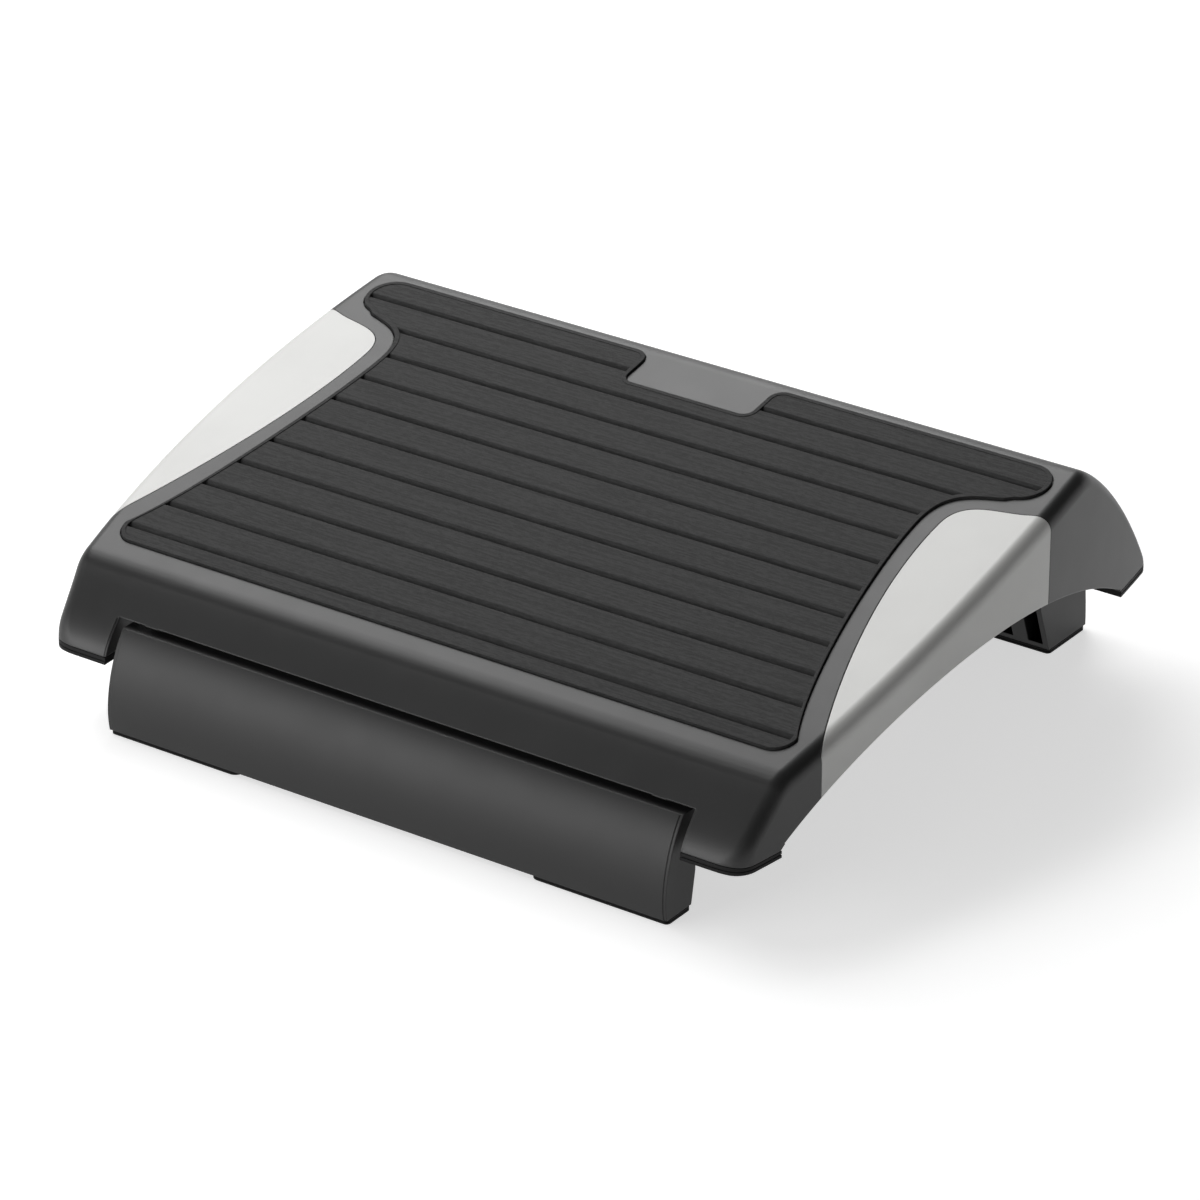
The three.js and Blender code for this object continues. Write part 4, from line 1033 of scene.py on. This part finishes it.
def sole_outline(leg, inset):
    """Rectangle seen from above with two larger corners towards the middle of the leg."""
    low, high = sorted((leg.sole_outer_y, leg.sole_inner_y))
    low_x, high_x = leg_half_width - sole_length + inset, leg_half_width - inset
    low, high = low + inset, high - inset
    inner, outer = sole_corner - inset, sole_outer_corner - inset
    return np.concatenate([arc(low_x + inner, low + inner, inner, 180, 270, turn_steps),
                           arc(high_x - outer, low + outer, outer, 270, 360, turn_steps),
                           arc(high_x - outer, high - outer, outer, 0, 90, turn_steps),
                           arc(low_x + inner, high - inner, inner, 90, 180, turn_steps)])


def leg_sole(leg):
    """Flat strip with a groove round its side and two pegs on top."""
    sole = upwards(sole_outline(leg, 0), 0, sole_thickness)
    groove = upwards(sole_outline(leg, -1), sole_groove_low, sole_groove_high)
    cut(sole, cut(groove, upwards(sole_outline(leg, sole_groove_depth), 0, sole_thickness)))
    for x, y in sole_peg_places(leg):
        join(sole, upright_rod(x, y, gap, sole_thickness + wall + sole_peg_length / 2, sole_peg_radius))
    return sole


for leg in legs:
    right_sole = leg_sole(leg)
    for side, piece in (("left", mirror_image(right_sole)), ("right", right_sole)):
        sole = finished(piece, f"{leg.name}_sole_strip_{side}", foot_rubber)
        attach(sole, f"{leg.name}_leg_body")
        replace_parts(sole, f"{leg.name}_leg_sole_{side}")

# Hinge caps
# A small moulded block of the leg's black ABS closes the saddle that each pin lies in.
# Two screws hold it from below.


def hinge_cap(leg):
    """Block under the pin, with the lower half of its bore and two screw holes."""
    high = leg.hinge_z - gap / 2
    low_y, high_y = leg.hinge_y - saddle_reach, leg.hinge_y + saddle_reach
    cap = block(saddle_inner_x, saddle_outer_x, low_y, high_y, high - cap_thickness, high)
    return cut(cap, hinge_holes(leg))


for leg in legs:
    right_cap = hinge_cap(leg)
    for side, piece in (("left", mirror_image(right_cap)), ("right", right_cap)):
        cap = finished(piece, f"{leg.name}_bearing_cap_{side}", leg_satin)
        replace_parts(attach(cap, "platform"), f"{leg.name}_hinge_cap_{side}")

# Hinge pins
# Turned steel pins, pushed in from outside through the leg's arm into the saddle.
# A thin flat head stops each one against the arm.

pin_head_radius, pin_head_thickness, pin_chamfer = 5, 1.8, 0.4
# Turned steel is bright, with fine rings from the tool that are drawn coarser so that they show.
steel_dark_hex, steel_light_hex, steel_roughness = "8d8f92", "a6a8ab", 0.32
tool_mark_mm, tool_mark_depth_mm, steel_edge_mm, steel_gloss_change = 0.25, 0.006, 0.2, 0.08
pin_mark_stretch = (1, 8, 8)


def turned(profile, steps=40):
    """Closed solid from a profile of radii and heights, turned round the Z axis."""
    angles = np.linspace(0, 2 * np.pi, steps, endpoint=False)
    rings = [np.stack([r * np.cos(angles), r * np.sin(angles), np.full(steps, h)], -1) for r, h in profile]
    return tube("turned", np.stack(rings))


def placed(piece, turn, place):
    """Turns and moves the points of a piece, so that its own place stays at the origin."""
    piece.data.transform(turn)
    piece.data.transform(Matrix.Translation(Vector(place) * MM))
    return piece


def turned_steel(name, dark_hex, light_hex, roughness, mark_stretch):
    """Metal whose gloss and normal follow a noise, stretched along the marks of the tool."""
    material, tree = new_material(name)
    marks = noise(tree, tool_mark_mm, detail=3.0, stretch=mark_stretch)
    links = {
        "Base Color": ramp(tree, marks, dark_hex, light_hex),
        "Roughness": spread(tree, marks, roughness - steel_gloss_change, roughness + steel_gloss_change),
        "Normal": rounded(tree, steel_edge_mm, marks, tool_mark_depth_mm),
    }
    surface = add_node(tree, "ShaderNodeBsdfPrincipled", links, Metallic=1.0)
    add_node(tree, "ShaderNodeOutputMaterial", {"Surface": surface.outputs[0]})
    return material


pin_steel = turned_steel("pin_steel", steel_dark_hex, steel_light_hex, steel_roughness, pin_mark_stretch)


def hinge_pin(leg):
    """Rod with chamfered ends and a head, turned round Z and then laid along X."""
    head_x = arm_outer_x + gap
    end_x = head_x + pin_head_thickness
    profile = [(pin_radius - pin_chamfer, saddle_inner_x), (pin_radius, saddle_inner_x + pin_chamfer),
               (pin_radius, head_x), (pin_head_radius, head_x), (pin_head_radius, end_x - pin_chamfer),
               (pin_head_radius - pin_chamfer, end_x)]
    return placed(turned(profile), Matrix.Rotation(np.pi / 2, 4, "Y"), (0, leg.hinge_y, leg.hinge_z))


for leg in legs:
    right_pin = hinge_pin(leg)
    for side, piece in (("left", mirror_image(right_pin)), ("right", right_pin)):
        pin = finished(piece, f"{leg.name}_steel_pin_{side}", pin_steel)
        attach(pin, f"{leg.name}_leg_body")
        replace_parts(pin, f"{leg.name}_hinge_pin_{side}")

# Screws
# Slotted steel screws point upwards: three hold each trim, and two hold each hinge cap.

thread_pitch, thread_depth, dome_steps, screw_steps = 0.7, 0.25, 6, 28
# Zinc-plated steel is a duller and darker grey than the turned pins
zinc_dark_hex, zinc_light_hex, zinc_roughness, screw_mark_stretch = "77787a", "9b9da0", 0.38, (4, 4, 1)
zinc_steel = turned_steel("zinc_steel", zinc_dark_hex, zinc_light_hex, zinc_roughness, screw_mark_stretch)


def screw(x, y, head_z, head_radius, length):
    """Domed slotted head under a shank whose radius zigzags as a thread's outline, with a tapered end."""
    dome = np.linspace(0, np.pi / 2, dome_steps + 1)
    profile = [(head_radius * (1 / 2 + np.sin(a) / 2), -screw_head_height * np.cos(a)) for a in dome]
    turns = np.arange(thread_pitch, length - 2 * screw_radius, thread_pitch)
    profile.append((screw_radius - thread_depth, 0))
    for height in turns:
        profile += [(screw_radius - thread_depth, height), (screw_radius, height + thread_pitch / 2)]
    profile += [(screw_radius - thread_depth, length - screw_radius), (thread_depth, length)]
    piece = placed(turned(profile, screw_steps), Matrix.Identity(4), (x, y, head_z))
    slot_low = head_z - screw_head_height - gap
    half = screw_slot_width / 2
    return cut(piece, block(x - half, x + half, y - head_radius - gap, y + head_radius + gap,
                            slot_low, slot_low + gap + screw_slot_depth))


screws = {}
for i, (x, y) in enumerate(trim_screw_places(), 1):
    head_z = trim_seat_bottom(y) - gap
    screws[f"trim_screw_{i}"] = screw(x, y, head_z, trim_screw_head_radius, trim_screw_length)
for leg in legs:
    for i, (x, y) in enumerate(cap_screw_places(leg), 1):
        piece = screw(x, y, cap_screw_z(leg), cap_screw_head_radius, cap_screw_length)
        screws[f"{leg.name}_cap_screw_{i}"] = piece
for name, right_screw in screws.items():
    for side, piece in (("left", mirror_image(right_screw)), ("right", right_screw)):
        dressed = finished(piece, f"{name}_{side}_steel", zinc_steel)
        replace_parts(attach(dressed, "platform"), f"{name}_{side}")
